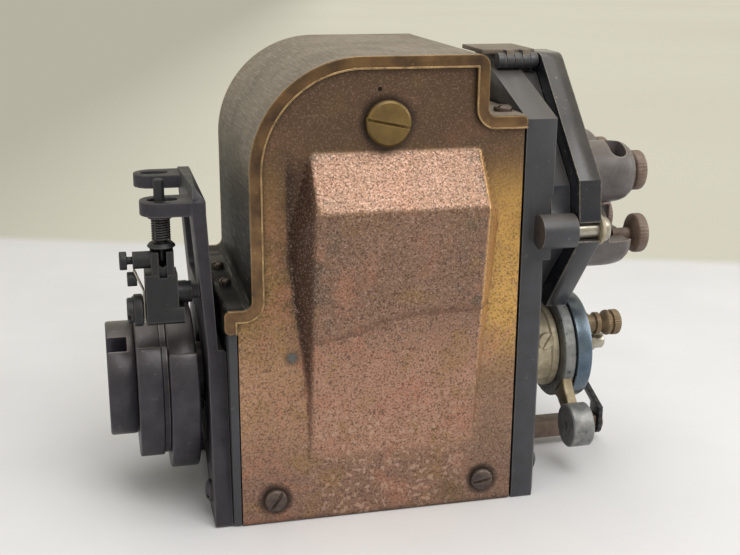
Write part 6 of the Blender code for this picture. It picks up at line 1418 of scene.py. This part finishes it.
hood()
cover()
cover_screws()
ratchet_and_cup()
slotted_coupling()
plunger()
plunger_spring()
lever_screws()
face_plate()
towers()
terminal_nuts()
finger_nut("ground_nut", GROUND_NUT_THICKNESS, GROUND_BRASS, True)
stud("front_stud")
stud("rear_stud")
breaker_collar()
timing_lever()
breaker_cap()
oil_flap()
trip_gear()
softened("cap_clip", 0.35, STRAP)
for node_name, rounding in SOFTENED.items():
    softened(node_name, rounding, OWN_FINISH.get(node_name))
for node_name, node_object in frame["nodes"].items():
    node_object.data.materials.clear()
    node_object.data.materials.append(FINISH[SLOT_OF[node_name]])


# Stage, light and camera, in metres

FLOOR_COLOUR = "dddcdc"
FLOOR_CLOUD = "d7d6d6"
WALL_WAY = (0.337, 0.9415, 0.0)
WALL_DISTANCE = 0.336
WALL_BLUR = 0.012
WALL_SIDE = (0.9717, -0.2362, 0.0)
WALL_LIGHT_TO = -0.08
WALL_DARK_FROM = -0.42
FLOOR_SIZE = 8.0
FLOOR_DROP = 0.0002
WALL_COLOUR = "dcd8c6"
WALL_CLOUD = "d0ccb9"
WALL_SHADE = "b6b2a2"
ROOM_COLOUR = "cfccc4"
ROOM_LIGHT = 0.62
LAMPS = (
    # name, place in metres, watts, width in metres
    ("key_softbox", (0.22, -0.56, 0.86), 5.4, 0.6),
    ("left_fill", (-0.8, -0.4, 0.45), 1.2, 0.7),
    ("top_softbox", (-0.05, 0.15, 0.95), 4.0, 0.9),
    ("right_strip", (0.8, -0.2, 0.4), 3.0, 0.5),
)
LAMP_TARGET = Vector((0.0, 0.0, 0.08))


def shown(tree):
    """1 where the camera sees a surface, directly or in a gloss, and 0 where only light does."""
    ray = add(tree, "ShaderNodeLightPath")
    return add(tree, "ShaderNodeMath", {0: ray.outputs["Is Camera Ray"], 1: ray.outputs["Is Glossy Ray"]},
               operation="MAXIMUM")


def board():
    """The floor, whose far part stands in for the wall."""
    deselect()
    bpy.ops.mesh.primitive_plane_add(size=FLOOR_SIZE, location=(0.0, 0.0, -FLOOR_DROP))
    floor = bpy.context.object
    floor.name = "floor"
    # painted board: barely clouded white, satin
    material, tree, shader, place = begin("white_painted_board", 0.0, 0.55)
    tone = add(tree, "ShaderNodeTexNoise", {"Vector": place, "Scale": per_mm(70), "Detail": 3.0})
    share = add(tree, "ShaderNodeMapRange", {"Value": tone, "From Min": 0.3, "From Max": 0.7})
    colour = add(tree, "ShaderNodeMix", {0: share, COLOUR_A: linear(FLOOR_COLOUR),
                                         COLOUR_B: linear(FLOOR_CLOUD)}, data_type="RGBA")
    tree.links.new(colour.outputs[2], shader.inputs["Base Color"])
    # far behind the part the board takes the wall's colour
    depth = add(tree, "ShaderNodeVectorMath", {0: place, 1: WALL_WAY}, operation="DOT_PRODUCT")
    beyond = add(tree, "ShaderNodeMapRange", {
        "Value": depth.outputs["Value"], "From Min": WALL_DISTANCE - WALL_BLUR,
        "From Max": WALL_DISTANCE + WALL_BLUR}, interpolation_type=SOFT)
    wall_share = add(tree, "ShaderNodeMath", {0: beyond, 1: shown(tree)}, operation="MULTIPLY")
    stain = add(tree, "ShaderNodeTexNoise", {"Vector": place, "Scale": per_mm(600), "Detail": 3.0})
    cloudy = add(tree, "ShaderNodeMix", {0: stain, COLOUR_A: linear(WALL_CLOUD),
                                         COLOUR_B: linear(WALL_COLOUR)}, data_type="RGBA")
    aside = add(tree, "ShaderNodeVectorMath", {0: place, 1: WALL_SIDE}, operation="DOT_PRODUCT")
    shaded = add(tree, "ShaderNodeMapRange", {
        "Value": aside.outputs["Value"], "From Min": WALL_LIGHT_TO, "From Max": WALL_DARK_FROM},
        interpolation_type=SOFT)
    wall_tone = add(tree, "ShaderNodeMix", {0: shaded, COLOUR_A: cloudy, COLOUR_B: linear(WALL_SHADE)},
                    data_type="RGBA")
    wall = add(tree, "ShaderNodeEmission", {"Color": wall_tone, "Strength": 1.0})
    surface = add(tree, "ShaderNodeMixShader", {0: wall_share, 1: shader.outputs[0], 2: wall.outputs[0]})
    tree.links.new(surface.outputs[0], tree.nodes["Material Output"].inputs["Surface"])
    floor.data.materials.append(material)


def room():
    """Even light from all round, seen as the wall's colour."""
    world = bpy.data.worlds.new("studio_room")
    world.use_nodes = True
    bpy.context.scene.world = world
    tree = world.node_tree
    light = tree.nodes["Background"]
    light.inputs["Color"].default_value = linear(ROOM_COLOUR)
    light.inputs["Strength"].default_value = ROOM_LIGHT
    wall = add(tree, "ShaderNodeBackground", {"Color": linear(WALL_COLOUR), "Strength": 1.0})
    surface = add(tree, "ShaderNodeMixShader", {0: shown(tree), 1: light.outputs[0], 2: wall.outputs[0]})
    tree.links.new(surface.outputs[0], tree.nodes["World Output"].inputs["Surface"])


def softboxes():
    for name, place_at, watts, width in LAMPS:
        lamp = bpy.data.lights.new(name, "AREA")
        lamp.energy = watts
        lamp.size = width
        softbox = bpy.data.objects.new(name, lamp)
        softbox.location = place_at
        softbox.rotation_euler = (LAMP_TARGET - Vector(place_at)).to_track_quat("-Z", "Y").to_euler()
        bpy.context.scene.collection.objects.link(softbox)


def camera():
    ahead = Vector((math.sin(YAW) * math.cos(PITCH), math.cos(YAW) * math.cos(PITCH), -math.sin(PITCH)))
    level = Vector((math.cos(YAW), -math.sin(YAW), 0.0))
    upright = level.cross(ahead)
    right = math.cos(ROLL) * level + math.sin(ROLL) * upright
    up = math.cos(ROLL) * upright - math.sin(ROLL) * level
    lens = bpy.data.cameras.new("photograph")
    lens.sensor_width = SENSOR_WIDTH
    lens.lens = FOCAL_PIXELS / IMAGE_WIDTH * SENSOR_WIDTH
    lens.clip_start = 0.01
    stand = bpy.data.objects.new("photograph", lens)
    turn = Matrix((right, up, -ahead)).transposed()
    stand.matrix_world = Matrix.Translation(EYE) @ turn.to_4x4()
    bpy.context.scene.collection.objects.link(stand)
    bpy.context.scene.camera = stand


board()
room()
softboxes()
camera()
bpy.context.scene.view_settings.view_transform = "Standard"
